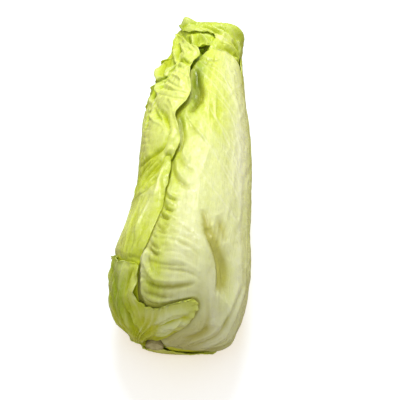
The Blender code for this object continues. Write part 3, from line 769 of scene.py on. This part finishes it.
# The long leaf on the left
# Its free margin stands up in the ruffled column that runs up the front of the head, and its
# upper part is puckered into lobes and hollows.
grow_leaf(
    "leaf_left", "long_left_blade",
    leaf_material("long left leaf", blade=(0.62, 0.7, 0.07), deep=(0.5, 0.62, 0.015)),
    margins=[
        (0, -170, -110), (0.08, -176, -60), (0.217, -180, -46), (0.33, -178, -40), (0.378, -177, -28),
        (0.425, -175, -24), (0.46, -172, -23), (0.487, -170, -16), (0.52, -165, -12), (0.56, -158, -15),
        (0.605, -149, -20), (0.645, -138, -12), (0.68, -120, -8), (0.715, -92, -10), (0.745, -64, -12),
        (0.77, -50, -12), (0.79, -46, -10), (0.812, -47, -4), (0.838, -52, -9), (0.86, -57, -24),
        (0.878, -61, -32), (0.896, -62, -40), (0.908, -60, -50),
    ],
    crumple=0.9, hidden=0.36, greenness=(0.48, 0.02, 0.74),
    folds=[
        ([(-38, 0.812), (-25, 0.788), (-14, 0.764)], 1.6, -3.6, 0.3),
        ([(-30, 0.775), (-26, 0.745), (-34, 0.705), (-46, 0.67)], 1, -1.4),
        ([(-22, 0.77), (-18, 0.74), (-22, 0.712)], 1, 1.2),
        ([(-36, 0.77), (-33, 0.745), (-42, 0.712), (-56, 0.672)], 1.1, 1.6),
        ([(-52, 0.88), (-44, 0.862), (-36, 0.83), (-40, 0.8)], 1.3, -2),
        ([(-46, 0.885), (-38, 0.862), (-30, 0.835)], 1.1, 1.4),
        ([(-30, 0.855), (-22, 0.838), (-14, 0.822)], 1, -1.2),
        ([(-28, 0.805), (-20, 0.786), (-13, 0.775)], 1.2, -2.5),
        ([(-40, 0.795), (-28, 0.77), (-18, 0.752)], 1.4, -2.2),
        ([(-46, 0.88), (-42, 0.85), (-44, 0.815)], 2, -4),
        ([(-49, 0.712), (-36, 0.692), (-22, 0.674), (-12, 0.668)], 1.1, -2, 0.3),
        ([(-50, 0.69), (-36, 0.668), (-24, 0.652), (-14, 0.65)], 1.1, -1.8, 0.3),
        ([(-45, 0.738), (-32, 0.708), (-18, 0.68)], 1.3, -1.6),
        ([(-56, 0.675), (-44, 0.632), (-32, 0.59), (-26, 0.552), (-28, 0.517), (-38, 0.498),
          (-54, 0.488), (-78, 0.5)], 2.2, -3.4, 0.2),
        ([(-61, 0.65), (-62, 0.62), (-60, 0.59)], 2.4, -5),
        ([(-54, 0.65), (-44, 0.612), (-36, 0.59)], 2, -4),
        ([(-57, 0.64), (-52, 0.615), (-44, 0.59)], 1.4, 2),
        ([(-60, 0.755), (-58, 0.723), (-50, 0.69)], 1.8, 4.5, 0.2),
        ([(-66, 0.745), (-64, 0.715), (-58, 0.685)], 2, -4),
        ([(-52, 0.745), (-51, 0.722), (-46, 0.705)], 1.8, -4),
        ([(-72, 0.72), (-66, 0.69), (-56, 0.668)], 2.2, 2.6),
        ([(-30, 0.47), (-41, 0.445), (-48, 0.427), (-54, 0.395)], 1.6, -2.8, 0.2),
        ([(-27, 0.468), (-35, 0.445), (-40, 0.427), (-46, 0.395)], 1.6, -2.6, 0.2),
        ([(-26, 0.46), (-30, 0.45), (-34, 0.428), (-40, 0.4)], 1.5, -2.2),
        ([(-34, 0.476), (-50, 0.452), (-60, 0.425), (-64, 0.395)], 1.8, -2.6, 0.2),
        ([(-40, 0.478), (-58, 0.462), (-72, 0.44)], 1.8, -2.2),
        ([(-32, 0.44), (-38, 0.418), (-43, 0.398)], 1.4, 1.6),
        ([(-40, 0.458), (-52, 0.436), (-58, 0.405)], 1.6, 1.6),
        ([(-27, 0.42), (-30, 0.395), (-34, 0.37)], 1.6, 1.4),
        ([(-19, 0.5), (-26, 0.478), (-28, 0.45)], 1.8, 2.4),
    ],
    fans=[
        ([(-46, 0.72), (-34, 0.692), (-22, 0.664)],
         [(-32, 0.762), (-22, 0.736), (-12, 0.712)], 4, 1.4, 1.4, 0.3, 41),
        ([(-72, 0.56), (-62, 0.545), (-50, 0.53)],
         [(-70, 0.655), (-60, 0.64), (-48, 0.62)], 6, 1, -1, 0.2, 42),
        ([(-44, 0.595), (-36, 0.57), (-30, 0.545)],
         [(-34, 0.665), (-26, 0.635), (-22, 0.6)], 5, 0.9, 1.1, 0.2, 43),
        ([(-40, 0.85), (-34, 0.838), (-28, 0.822)],
         [(-22, 0.858), (-18, 0.846), (-14, 0.832)], 5, 0.9, -1, 0.2, 44),
        ([(-70, 0.76), (-64, 0.735), (-56, 0.715)],
         [(-62, 0.8), (-54, 0.78), (-46, 0.75)], 5, 1, -1.2, 0.2, 45),
    ],
    bulges=[
        (-26, 0.838, 13, 13, 3.2, 20), (-27, 0.725, 13, 24, 3.6, 8), (-52, 0.625, 17, 17, 2),
        (-46, 0.545, 18, 18, 2.6, 30), (-22, 0.545, 6, 20, 3, -14), (-34, 0.655, 8, 16, 2.6, 30),
    ],
    edges=[
        ("right", 6, -1, 0.6, 20, 0, 20, (0.3, 0.36)), ("right", 5, 1.4, 1.4, 20, 1, 21, (0.42, 0.56)),
        ("left", 12, 1, 3, 20, 4, 24, (0.66, 0.7)),
    ],
    veins=rib_and_veins([(-140, 0), (-120, 0.3), (-80, 0.6), (-50, 0.76)], 9, 50, 90),
    # The narrow patches along the creases and hollows add green there as painted shade.
    patches=[
        (-46, 0.6, 30, 30, -0.06), (-62, 0.46, 20, 20, 0.15), (-84, 0.6, 12, 60, 0.25),
        (-62, 0.73, 12, 16, 0.25), (-61, 0.62, 5, 12, 0.45), (-43, 0.615, 5, 12, 0.4),
        (-56, 0.745, 7, 8, 0.4), (-26, 0.785, 4, 10, 0.4), (-84, 0.45, 12, 50, 0.25),
    ],
)


# The pale leaf on the right
# The largest leaf in view: a broad pale rib at the right, a belly at the base and long veins.
# Where it tucks under the left leaves it is gathered into short creases.
grow_leaf(
    "leaf_right", "pale_right_blade",
    # Its painted shade is a browner olive than on the other leaves.
    leaf_material("pale right leaf", sunk=(0.62, 0.58, 0.26), lines=0.9),
    margins=[
        (0, 20, 112), (0.08, -40, 116), (0.158, -62, 112), (0.315, -58, 100), (0.511, -44, 84),
        (0.667, -26, 72), (0.746, -16, 67), (0.795, -8, 62), (0.824, 0, 55), (0.84, 9, 44),
        (0.845, 18, 32),
    ],
    spacing=FINE * 1.12, crumple=0.5, greenness=(0, 0.05, 0.42),
    folds=[
        ([(19, 0.3), (27, 0.258), (34, 0.233), (39, 0.205), (41, 0.173), (39, 0.15)], 2.2, -3.4, -0.4),
        ([(23, 0.29), (34, 0.245), (43, 0.217), (47, 0.188), (45, 0.155)], 6, -4.2),
        ([(16, 0.335), (22, 0.295), (27, 0.27)], 3, -2.6),
        ([(30, 0.33), (38, 0.3), (44, 0.275)], 6, -2),
        ([(-30, 0.172), (-25, 0.153), (-16, 0.141), (-4, 0.139), (8, 0.146), (15, 0.153)], 1.3, -3, 0.4),
        ([(-28, 0.185), (-20, 0.16), (-10, 0.152), (4, 0.153), (14, 0.16)], 1.4, 1.4),
        ([(-31, 0.147), (-28, 0.134), (-21, 0.128), (-10, 0.121), (4, 0.122)], 1.2, -2.2, 0.3),
        ([(-27, 0.122), (-15, 0.115), (-2, 0.118), (11, 0.125), (20, 0.131)], 1.6, 2.2, 0.3),
        ([(-30, 0.116), (-17, 0.106), (-2, 0.109), (12, 0.119)], 1.3, -2),
        ([(-10, 0.198), (4, 0.193), (19, 0.178)], 1.4, 1.2),
        ([(-16, 0.177), (-3, 0.173), (9, 0.172), (20, 0.165)], 1.2, -1.4),
        ([(-24, 0.194), (-9, 0.183), (8, 0.183)], 1.2, -1.4),
        ([(-14, 0.212), (0, 0.212), (12, 0.2)], 1.6, -0.9),
        ([(3, 0.238), (14, 0.22), (22, 0.2)], 2, -0.9),
        ([(0, 0.262), (12, 0.248), (22, 0.228)], 2.2, -0.8),
        ([(-27, 0.222), (-27, 0.198), (-23, 0.175), (-17, 0.152)], 1.4, 3.2, 0.2),
        ([(-23, 0.21), (-23, 0.19), (-19, 0.168)], 1.2, -2.2),
        ([(-31, 0.225), (-31, 0.2), (-29, 0.17), (-30, 0.145), (-33, 0.128)], 3, 3.4),
        ([(-18, 0.48), (-19, 0.4), (-20, 0.345), (-24, 0.27), (-29, 0.22), (-33, 0.19)], 3.2, 1.9),
        ([(-13, 0.64), (-11, 0.61), (-4, 0.58), (6, 0.547), (18, 0.51)], 1.1, 1.6, 0.3),
        ([(-14, 0.565), (-10, 0.522), (-8, 0.485), (-1, 0.458)], 1.6, 2.4, 0.3),
        ([(-20, 0.6), (-16, 0.568), (-11, 0.52), (-13, 0.49)], 2.4, -4.8),
        ([(-8, 0.595), (-2, 0.57), (2, 0.545)], 3, -1.6),
        ([(-24, 0.49), (-26, 0.46), (-22, 0.428)], 2.6, -4),
        ([(-18, 0.47), (-16, 0.44), (-8, 0.405), (2, 0.385)], 1.6, -2.2),
        ([(-13, 0.462), (-11, 0.436), (-2, 0.402)], 1.5, 1.6),
        ([(-14, 0.48), (-8, 0.455), (4, 0.43)], 1.8, -1.4),
        ([(-6, 0.765), (-3, 0.72), (1, 0.68), (-1, 0.64), (-8, 0.612)], 4, -5, -0.2),
        ([(2, 0.69), (5, 0.665), (3, 0.64)], 2.2, -2),
        ([(4, 0.801), (12, 0.797), (24, 0.803)], 1.4, -1.4),
        ([(-2, 0.792), (6, 0.78), (14, 0.776)], 1.8, -1),
        ([(20, 0.735), (34, 0.718), (46, 0.68), (54, 0.635)], 3, 0.8),
        ([(45, 0.105), (53, 0.092)], 4, 1.4),
        ([(78, 0.022), (60, 0.052), (56, 0.092), (59, 0.135), (64, 0.2)], 1.8, 1.6),
        ([(102, 0.033), (82, 0.052), (71, 0.09), (69, 0.133), (74, 0.2)], 1.8, 1.4),
        ([(90, 0.026), (70, 0.052), (63, 0.092), (64, 0.135), (70, 0.2)], 1.6, -1.4),
        ([(40, 0.04), (48, 0.06), (47, 0.085)], 2.2, -1.2),
    ],
    fans=[
        ([(-33, 0.15), (-28, 0.158), (-22, 0.15)],
         [(-32, 0.225), (-27, 0.222), (-21, 0.205)], 7, 0.9, 1.2, 0.3, 17),
        ([(84, 0.03), (66, 0.06), (61, 0.1)], [(108, 0.04), (90, 0.07), (80, 0.13)], 6, 1.2, 1, 0, 18),
        ([(-28, 0.228), (-22, 0.208), (-15, 0.196)],
         [(-20, 0.385), (-16, 0.362), (-8, 0.35)], 10, 1.3, -3, 0.3, 14),
        ([(-25, 0.238), (-19, 0.218), (-10, 0.204)],
         [(-19, 0.395), (-14, 0.37), (-4, 0.356)], 9, 1.2, 1.8, 0.3, 15),
        ([(-14, 0.2), (2, 0.196), (16, 0.182)],
         [(-10, 0.29), (4, 0.272), (18, 0.25)], 5, 1.3, -0.9, 0, 16),
    ],
    edges=[("tip", 8, 0.6, 0.8, 22, 0, 27, (0.7, 0.8))],
    veins=rib_and_veins([(74, 0), (62, 0.22), (55, 0.42), (51, 0.56), (44, 0.7), (30, 0.82)],
                        10, 85, 30, slope=1.2, rib_width=4, strength=0.55)
    + [vein_line(*line) for line in (
        [(52, 0.34), (34, 0.372), (22, 0.403), (10, 0.438), (-4, 0.463)],
        [(54, 0.4), (46, 0.427), (31, 0.468), (18, 0.51), (2, 0.562)],
        [(54, 0.47), (48, 0.5), (34, 0.552), (20, 0.606), (8, 0.652)],
        [(54, 0.54), (46, 0.59), (39, 0.628), (24, 0.667), (9, 0.69)],
        [(53, 0.6), (50, 0.645), (38, 0.7), (30, 0.72), (16, 0.738)],
        [(38, 0.7), (30, 0.742), (14, 0.77), (2, 0.778)],
    )],
    # The narrow patches along the creases by the left leaves add green there as painted shade.
    patches=[
        (-16, 0.26, 10, 60, 0.32), (-4, 0.7, 7, 35, 0.55), (-16, 0.58, 6, 30, 0.4),
        (-24, 0.46, 6, 16, 0.3), (-12, 0.42, 14, 40, 0.14), (6, 0.78, 20, 20, 0.16),
        (-24, 0.15, 10, 16, 0.25), (20, 0.62, 20, 40, 0.1), (84, 0.45, 10, 100, 0.12),
        (54, 0.56, 12, 60, -0.25), (10, 0.66, 30, 50, 0.1), (40, 0.8, 20, 30, -0.25),
    ],
)


# The leaf behind it
# It shows as a darker strip along the right side of the head.
grow_leaf(
    "leaf_right_back", "right_back_blade", leaf_material("right back leaf"),
    margins=[
        (0, 92, 160), (0.08, 64, 176), (0.217, 50, 186), (0.462, 46, 186), (0.657, 52, 176),
        (0.804, 62, 164), (0.883, 76, 148), (0.907, 94, 128),
    ],
    spacing=COARSE, greenness=(0.05, 0.15, 0.45),
    edges=[("tip", 14, -0.8, 0.6, 26, 0, 31, (0.03, 0.12))],
    veins=rib_and_veins([(124, 0), (112, 0.85)], 10, 50, 50, rib_width=4),
)


# The hood
# This leaf comes up the back and folds over the crown, with its front margin rolled under.
grow_leaf(
    "leaf_hood", "hood_blade", leaf_material("hood leaf", deep=(0.46, 0.58, 0.015)),
    margins=[
        (0, 100, 156), (0.099, 78, 184), (0.315, 52, 206), (0.56, 32, 224), (0.726, 10, 240),
        (0.814, 4, 250), (0.868, 8, 256), (0.89, 13, 262), (0.904, 8, 267), (0.911, -6, 269),
        (0.913, -20, 270), (0.916, -34, 271), (0.931, -48, 272), (0.957, -54, 250), (0.983, 0, 210),
    ],
    crumple=0.6, hidden=0.78, greenness=(0.1, 0.05, 0.9),
    folds=[
        ([(20, 0.876), (34, 0.864), (46, 0.862), (58, 0.848), (66, 0.825)], 1.3, -4.4, 0.3),
        ([(12, 0.866), (26, 0.858), (42, 0.85), (54, 0.832)], 1.1, -2.6, 0.3),
        ([(16, 0.87), (30, 0.861), (44, 0.856), (56, 0.84)], 1.1, 1.8),
        ([(28, 0.886), (44, 0.88), (58, 0.866), (68, 0.845)], 1.3, -3),
        ([(24, 0.882), (38, 0.872), (52, 0.866)], 1.2, 1.8),
        ([(14, 0.908), (22, 0.894), (32, 0.884), (46, 0.872)], 2, 2.2),
        ([(40, 0.9), (56, 0.892), (70, 0.87)], 2, -2.4),
        ([(52, 0.915), (64, 0.9), (74, 0.88)], 1.8, 1.8),
        ([(-44, 0.934), (-23, 0.918), (-14, 0.92), (0, 0.912), (10, 0.9)], 1.2, 0.8),
        ([(-16, 0.934), (0, 0.926), (12, 0.918), (24, 0.905)], 1.6, -3.4, 0.3),
        ([(-46, 0.936), (-30, 0.944), (-12, 0.954)], 1.4, -2.8),
        ([(4, 0.94), (20, 0.932), (34, 0.918)], 1.4, -2.2),
        ([(-2, 0.935), (16, 0.924), (30, 0.91)], 1.4, 1.8),
        ([(20, 0.915), (36, 0.905), (50, 0.9)], 2.4, 1.6),
    ],
    bulges=[(-40, 0.962, 5, 8, 4.5), (-54, 0.944, 4, 6, 2.5)],
    edges=[("left", 5, -1, 1.6, 11, 1, 41, (0.88, 0.9))],
    veins=rib_and_veins([(130, 0), (110, 0.6), (96, 0.93)], 10, 70, 70, rib_width=3.5),
    # The patch that takes green away at 26 degrees is a painted highlight on the folds there.
    patches=[(-36, 0.95, 14, 10, 0.25), (26, 0.892, 10, 5, -0.45), (60, 0.88, 12, 20, 0.15)],
)


# The green leaf at the upper left
# A young, deep green leaf whose tip stands beside the hood.
grow_leaf(
    "leaf_crown_left", "upper_left_blade", leaf_material("upper left leaf", deep=(0.48, 0.6, 0.015)),
    margins=[
        (0, -132, -70), (0.099, -142, -52), (0.315, -143, -34), (0.56, -143, -24), (0.706, -143, -20),
        (0.795, -134, -22), (0.822, -112, -25), (0.835, -82, -28), (0.841, -66, -30), (0.871, -63, -33),
        (0.9, -63, -40), (0.922, -60, -52),
    ],
    crumple=0.7, hidden=0.76, shade=0.4, greenness=(0.35, 0, 0.72),
    folds=[
        ([(-58, 0.905), (-55, 0.87), (-50, 0.835)], 2, 3, 0.2),
        ([(-64, 0.88), (-62, 0.84), (-55, 0.8)], 3, -4),
        ([(-74, 0.835), (-70, 0.8), (-64, 0.76)], 2.2, 2.6),
        ([(-80, 0.8), (-78, 0.77), (-76, 0.74)], 2, -1.8),
        ([(-56, 0.79), (-55, 0.765), (-58, 0.745)], 1.8, 1.8),
        ([(-66, 0.828), (-62, 0.8), (-60, 0.765)], 1.6, -3.4),
        ([(-72, 0.815), (-68, 0.79), (-66, 0.76)], 1.3, 2.2),
    ],
    edges=[
        ("left", 8, 0.3, 1.6, 18, 1, 51, (0.74, 0.8)), ("left", 6, 2.6, 1, 12, 0, 53, (0.89, 0.905)),
        ("right", 6, 0.4, 1.4, 16, 1, 52, (0.8, 0.84)),
    ],
    veins=rib_and_veins([(-100, 0), (-84, 0.6), (-66, 0.86)], 8, 40, 50),
    patches=[(-50, 0.885, 10, 14, -0.35), (-72, 0.8, 6, 25, -0.25), (-54, 0.79, 10, 30, 0.2)],
)


# The inner back leaf
# It comes over from the back inside the hood and hangs down in front as a ruffled curtain.
grow_leaf(
    "leaf_back", "inner_back_blade", leaf_material("inner back leaf", deep=(0.5, 0.63, 0.01)),
    margins=[
        (0, 172, 238), (0.099, 156, 260), (0.315, 144, 268), (0.56, 142, 264), (0.755, 148, 262),
        (0.818, 144, 274), (0.84, 136, 306), (0.85, 130, 328), (0.856, 124, 346), (0.863, 120, 360),
        (0.88, 116, 373), (0.922, 112, 382), (0.949, 122, 366), (0.959, 150, 330),
    ],
    crumple=0.7, hidden=0.86, shade=0.1, greenness=(0.3, 0, 0.9),
    folds=[
        ([(-34, 0.905), (-30, 0.88), (-28, 0.855)], 1.6, -3.4),
        ([(-26, 0.905), (-23, 0.885), (-22, 0.855)], 1.2, 2.2),
        ([(-16, 0.905), (-15, 0.888), (-16, 0.858)], 1.4, -3),
        ([(-14, 0.908), (-5, 0.89), (3, 0.868)], 1.2, 3.4, 0.3),
        ([(-8, 0.905), (2, 0.89), (9, 0.876)], 1.1, -2.4),
    ],
    edges=[("right", 7, 0.6, 3, 9, 2, 61, (0.8, 0.84))],
    veins=rib_and_veins([(206, 0), (204, 0.9)], 8, 50, 50),
)


# The inner front leaf
# It lies under the ruffled column and shows only in the hollow at the crown.
grow_leaf(
    "leaf_front", "inner_front_blade", leaf_material("inner front leaf"),
    margins=[
        (0, -32, 34), (0.099, -56, 58), (0.315, -66, 66), (0.56, -62, 62), (0.74, -54, 52),
        (0.795, -40, 46), (0.824, -32, 40), (0.851, -22, 22), (0.859, -12, 6),
    ],
    spacing=COARSE, greenness=(0.3, 0.1, 1),
    bulges=[(-5, 0.835, 9, 16, -9, 10, 3)],
)


# The heart
# Dozens of small leaves packed into one body, with the tips of the innermost ones at the crown.
TIP_SPACING = 0.0028
TIP_AZIMUTHS = (40, 190, 320, 110)
HEART_GAP = 0.0018
HEART_START = 0.075
HEART_DOME_START = 0.80
HEART_TOP = 0.980
HEART_WRINKLE = 0.0008
CROWN_FOLD = 0.0040
CROWN_FOLD_START = 0.84
CROWN_FOLD_FADE = 0.12
DOME_POWER = 4
BASE_CLOSING = 0.06

inner_tip_leaf = leaf_material("inner tips", deep=(0.50, 0.63, 0.010))
for number, middle in enumerate(TIP_AZIMUTHS):
    half_widths = ((0.76, 60), (0.84, 80), (0.92, 85), (0.965, 70), (0.992 - 0.004 * number, 35))
    grow_leaf(
        "heart", f"inner_tip_{number + 1}", inner_tip_leaf,
        margins=[(t, middle - half, middle + half) for t, half in half_widths],
        spacing=TIP_SPACING, crumple=0.6, shade=0.2, greenness=(0.3, 0.05, 0.7),
        edges=[("tip", 12, -3, 3.4, 9, 3, 71 + number, (0.8, 0.9)),
               ("left", 10, -1, 1.6, 9, 1, 75 + number, (0.8, 0.9))],
        veins=rib_and_veins([(middle, 0.76), (middle + 4, 0.98)], 5, 20, 20, rib_width=1.6),
    )


def face_outward():
    """Turns the faces of the active object outward."""
    bpy.ops.object.mode_set(mode="EDIT")
    bpy.ops.mesh.select_all(action="SELECT")
    bpy.ops.mesh.normals_make_consistent(inside=False)
    bpy.ops.object.mode_set(mode="OBJECT")


bpy.ops.mesh.primitive_uv_sphere_add(segments=96, ring_count=130, radius=1)
heart = bpy.context.object
heart.name = heart.data.name = "heart_core"
ball = read_places(heart.data)
azimuth = np.arctan2(ball[:, 0], ball[:, 1])
height = 1 - np.arccos(np.clip(ball[:, 2], -1, 1)) / math.pi
closing = smooth_step(height / BASE_CLOSING)
t = HEART_START + (HEART_TOP - HEART_START) * height
depth = np.full(len(t), HEART_GAP)
for outer in outer_leaves:
    depth += PITCH * outer.covers(azimuth, t)[0]
    depth -= pressed(outer.folds, azimuth, t, only_inward=True)
wrinkle = HEART_WRINKLE * (1 + np.sin(5 * azimuth + 9 * t) + 0.6 * rough(azimuth * 4, t * 24, 81))
folded = CROWN_FOLD * smooth_step((t - CROWN_FOLD_START) / CROWN_FOLD_FADE)
wrinkle += folded * np.abs(np.sin(2.5 * azimuth + 26 * t))
past = np.clip((t - HEART_DOME_START) / (HEART_TOP - HEART_DOME_START), 0, 1)
place = skin_point(azimuth, t) - outward(azimuth, t) * (depth + wrinkle)[:, None]
_, _, _, centre, shift = section(t)
axis = np.stack([shift, place[:, 1], centre], axis=-1)
narrowed = np.sqrt(np.maximum(1 - past**DOME_POWER, 0.0)) * np.sqrt(closing)
place = axis + (place - axis) * narrowed[:, None]
heart.data.vertices.foreach_set("co", place.astype(np.float32).ravel())
write_values(heart.data, greenness=0.45 * t + 0.1, vein=0 * t, hollow=0.5 + 0 * t)
face_outward()
bpy.ops.object.shade_smooth()
heart.data.materials.append(leaf_material("heart leaves", deep=(0.42, 0.60, 0.012)))
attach(heart, "root")
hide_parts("heart")
bpy.ops.object.select_all(action="DESELECT")


# The stem
# The cut stub that every leaf grows from: pale, fibrous, a little brown round the cut. It leans
# with the layers, narrows inwards and has shallow flutes, and its cut face is a little dished.
STEM_RADII = (0.0080, 0.0075)
STEM_CUT_Y = -0.1515
STEM_END_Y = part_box("stem")[1][1]
STEM_TAPER = 0.20
STEM_FLUTES = 7
FLUTE_DEPTH = 0.03
DISH_DEPTH = 0.0007
RIM_ROUND = 0.0006
CUT_WAVE = 0.0002
CUT_PLACE = -0.3
INSETS = (0.10, 0.22, 0.26, 0.26)
CUT_CORE = (0.56, 0.50, 0.24, 1)
CUT_RING = (0.60, 0.55, 0.28, 1)
CUT_RIM = (0.26, 0.20, 0.06, 1)

bpy.ops.mesh.primitive_cylinder_add(vertices=72, radius=1.0, depth=1.0, end_fill_type="NGON")
stem = bpy.context.object
stem.name = stem.data.name = "cut_stem"
bpy.ops.object.mode_set(mode="EDIT")
bpy.ops.mesh.select_all(action="SELECT")
bpy.ops.mesh.bisect(plane_co=(0, 0, CUT_PLACE), plane_no=(0, 0, 1))
bpy.ops.mesh.select_all(action="DESELECT")
bpy.ops.object.mode_set(mode="OBJECT")
for face in stem.data.polygons:
    face.select = abs(face.normal.z) > 0.9
bpy.ops.object.mode_set(mode="EDIT")
for inset in INSETS:
    bpy.ops.mesh.inset(thickness=inset)
bpy.ops.object.mode_set(mode="OBJECT")
lean = -outward(np.linspace(0, 2 * math.pi, 36), np.zeros(36)).mean(axis=0)
_, _, _, stem_centre, stem_shift = [float(v) for v in section(0.0)]
for vertex in stem.data.vertices:
    x, y, z = vertex.co
    radius, angle = math.hypot(x, y), math.atan2(x, y)
    out = 1 - FLUTE_DEPTH * (1 + math.cos(STEM_FLUTES * angle)) * radius
    gone = STEM_CUT_Y + (z + 0.5) * (STEM_END_Y - STEM_CUT_Y)
    inward = max(gone - HEAD_STATIONS[0][0], 0.0)
    narrow = 1 - STEM_TAPER * (gone - STEM_CUT_Y) / STEM_RADII[0]
    dish = DISH_DEPTH * (1 - radius**2) - RIM_ROUND * radius**6
    dish += CUT_WAVE * math.sin(9 * angle + 5 * radius)
    vertex.co = (
        stem_shift + lean[0] / lean[1] * inward + STEM_RADII[0] * narrow * out * x,
        gone + (dish if z < -0.4 else 0.0),
        stem_centre + lean[2] / lean[1] * inward + STEM_RADII[1] * narrow * out * y,
    )
face_outward()
bpy.ops.object.shade_smooth_by_angle(angle=math.radians(50))

cut = bpy.data.materials.new("cut stem")
cut.use_nodes = True
tree = cut.node_tree
shader = tree.nodes["Principled BSDF"].inputs
place = add_node(tree, "TexCoord").outputs["Object"]
middle = (-stem_shift, 0.0, -stem_centre)
centred = add_node(tree, "Mapping", {"Vector": place, "Location": middle}).outputs[0]
across = add_node(tree, "VectorMath", {0: centred, 1: (1.0, 0.0, 1.0)}, operation="MULTIPLY").outputs[0]
radius = add_node(tree, "VectorMath", {0: across}, operation="LENGTH").outputs["Value"]
fibre = noise(tree, place, 900.0, 4.0)["Fac"]
ragged = calculate(tree, "MULTIPLY_ADD", fibre, 0.0030, radius)
rim = add_node(tree, "ValToRGB", {"Fac": remap(tree, ragged, 0.0015, 0.0100)})
rim.color_ramp.elements[0].color = CUT_CORE
rim.color_ramp.elements[1].color = CUT_RIM
rim.color_ramp.elements.new(0.62).color = CUT_RING
rough_cut = add_node(tree, "Bump", {"Strength": 0.5, "Distance": 0.0006, "Height": fibre})
tree.links.new(rim.outputs["Color"], shader["Base Color"])
tree.links.new(rough_cut.outputs["Normal"], shader["Normal"])
shader["Roughness"].default_value = 0.5
stem.data.materials.append(cut)
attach(stem, "root")
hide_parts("stem")
bpy.ops.object.select_all(action="DESELECT")


# The floor
# A white sheet that the head lies on. The camera sees it white, and it sends warmer, dimmer
# light up at the head. For the camera it glows warm over a bluish colour: white in full light,
# with the shadows on it painted warm.
FLOOR_FOR_LIGHT = (0.36, 0.29, 0.19, 1)
FLOOR_FOR_CAMERA = (0.55, 0.75, 0.98, 1)
FLOOR_GLOW = (0.62, 0.47, 0.30, 1)

bpy.ops.mesh.primitive_plane_add(size=6.0, location=(0, 0, 0))
floor = bpy.context.object
floor.name = "floor"
paper = bpy.data.materials.new("white paper")
paper.use_nodes = True
tree = paper.node_tree
sheet = tree.nodes["Principled BSDF"].inputs
seen = add_node(tree, "LightPath").outputs["Is Camera Ray"]
tree.links.new(mix_colours(tree, seen, FLOOR_FOR_LIGHT, FLOOR_FOR_CAMERA), sheet["Base Color"])
tree.links.new(seen, sheet["Emission Strength"])
sheet["Roughness"].default_value = 0.9
sheet["Specular IOR Level"].default_value = 0.0
sheet["Emission Color"].default_value = FLOOR_GLOW
floor.data.materials.append(paper)


# Light and camera
# A soft light from behind falls mostly on the crown's half, and a camera looks down.
KEY_PLACE = (-0.08, 0.70, 0.85)
KEY_TARGET = (0.00, 0.08, 0.04)
KEY_ENERGY = 55.0
KEY_CONE = math.radians(34)
WORLD_STRENGTH = 0.71
CAMERA_TARGET = (0.008, -0.013, 0.035)
CAMERA_AZIMUTH = math.radians(6)
CAMERA_ELEVATION = math.radians(60)
CAMERA_DISTANCE = 0.9
CAMERA_FIELD = math.radians(22.6)
SENSOR_WIDTH = 36

key = bpy.data.lights.new("key", "SPOT")
key.energy = KEY_ENERGY
key.spot_size = KEY_CONE
key.spot_blend = 1.0
key.shadow_soft_size = 0.25
holder = bpy.data.objects.new("key", key)
bpy.context.scene.collection.objects.link(holder)
holder.location = KEY_PLACE
holder.rotation_euler = (Vector(KEY_PLACE) - Vector(KEY_TARGET)).to_track_quat("Z", "Y").to_euler()
world = bpy.data.worlds.new("studio")
bpy.context.scene.world = world
world.use_nodes = True
surroundings = world.node_tree.nodes["Background"].inputs
surroundings["Color"].default_value = (1, 1, 1, 1)
surroundings["Strength"].default_value = WORLD_STRENGTH
bpy.context.scene.view_settings.view_transform = "Standard"

level = math.cos(CAMERA_ELEVATION)
back_way = Vector((
    math.sin(CAMERA_AZIMUTH) * level, -math.cos(CAMERA_AZIMUTH) * level, math.sin(CAMERA_ELEVATION)
))
lens = bpy.data.cameras.new("camera")
lens.sensor_width = SENSOR_WIDTH
lens.lens = SENSOR_WIDTH / 2 / math.tan(CAMERA_FIELD / 2)
camera = bpy.data.objects.new("camera", lens)
bpy.context.scene.collection.objects.link(camera)
camera.location = Vector(CAMERA_TARGET) + back_way * CAMERA_DISTANCE
camera.rotation_euler = back_way.to_track_quat("Z", "Y").to_euler()
bpy.context.scene.camera = camera
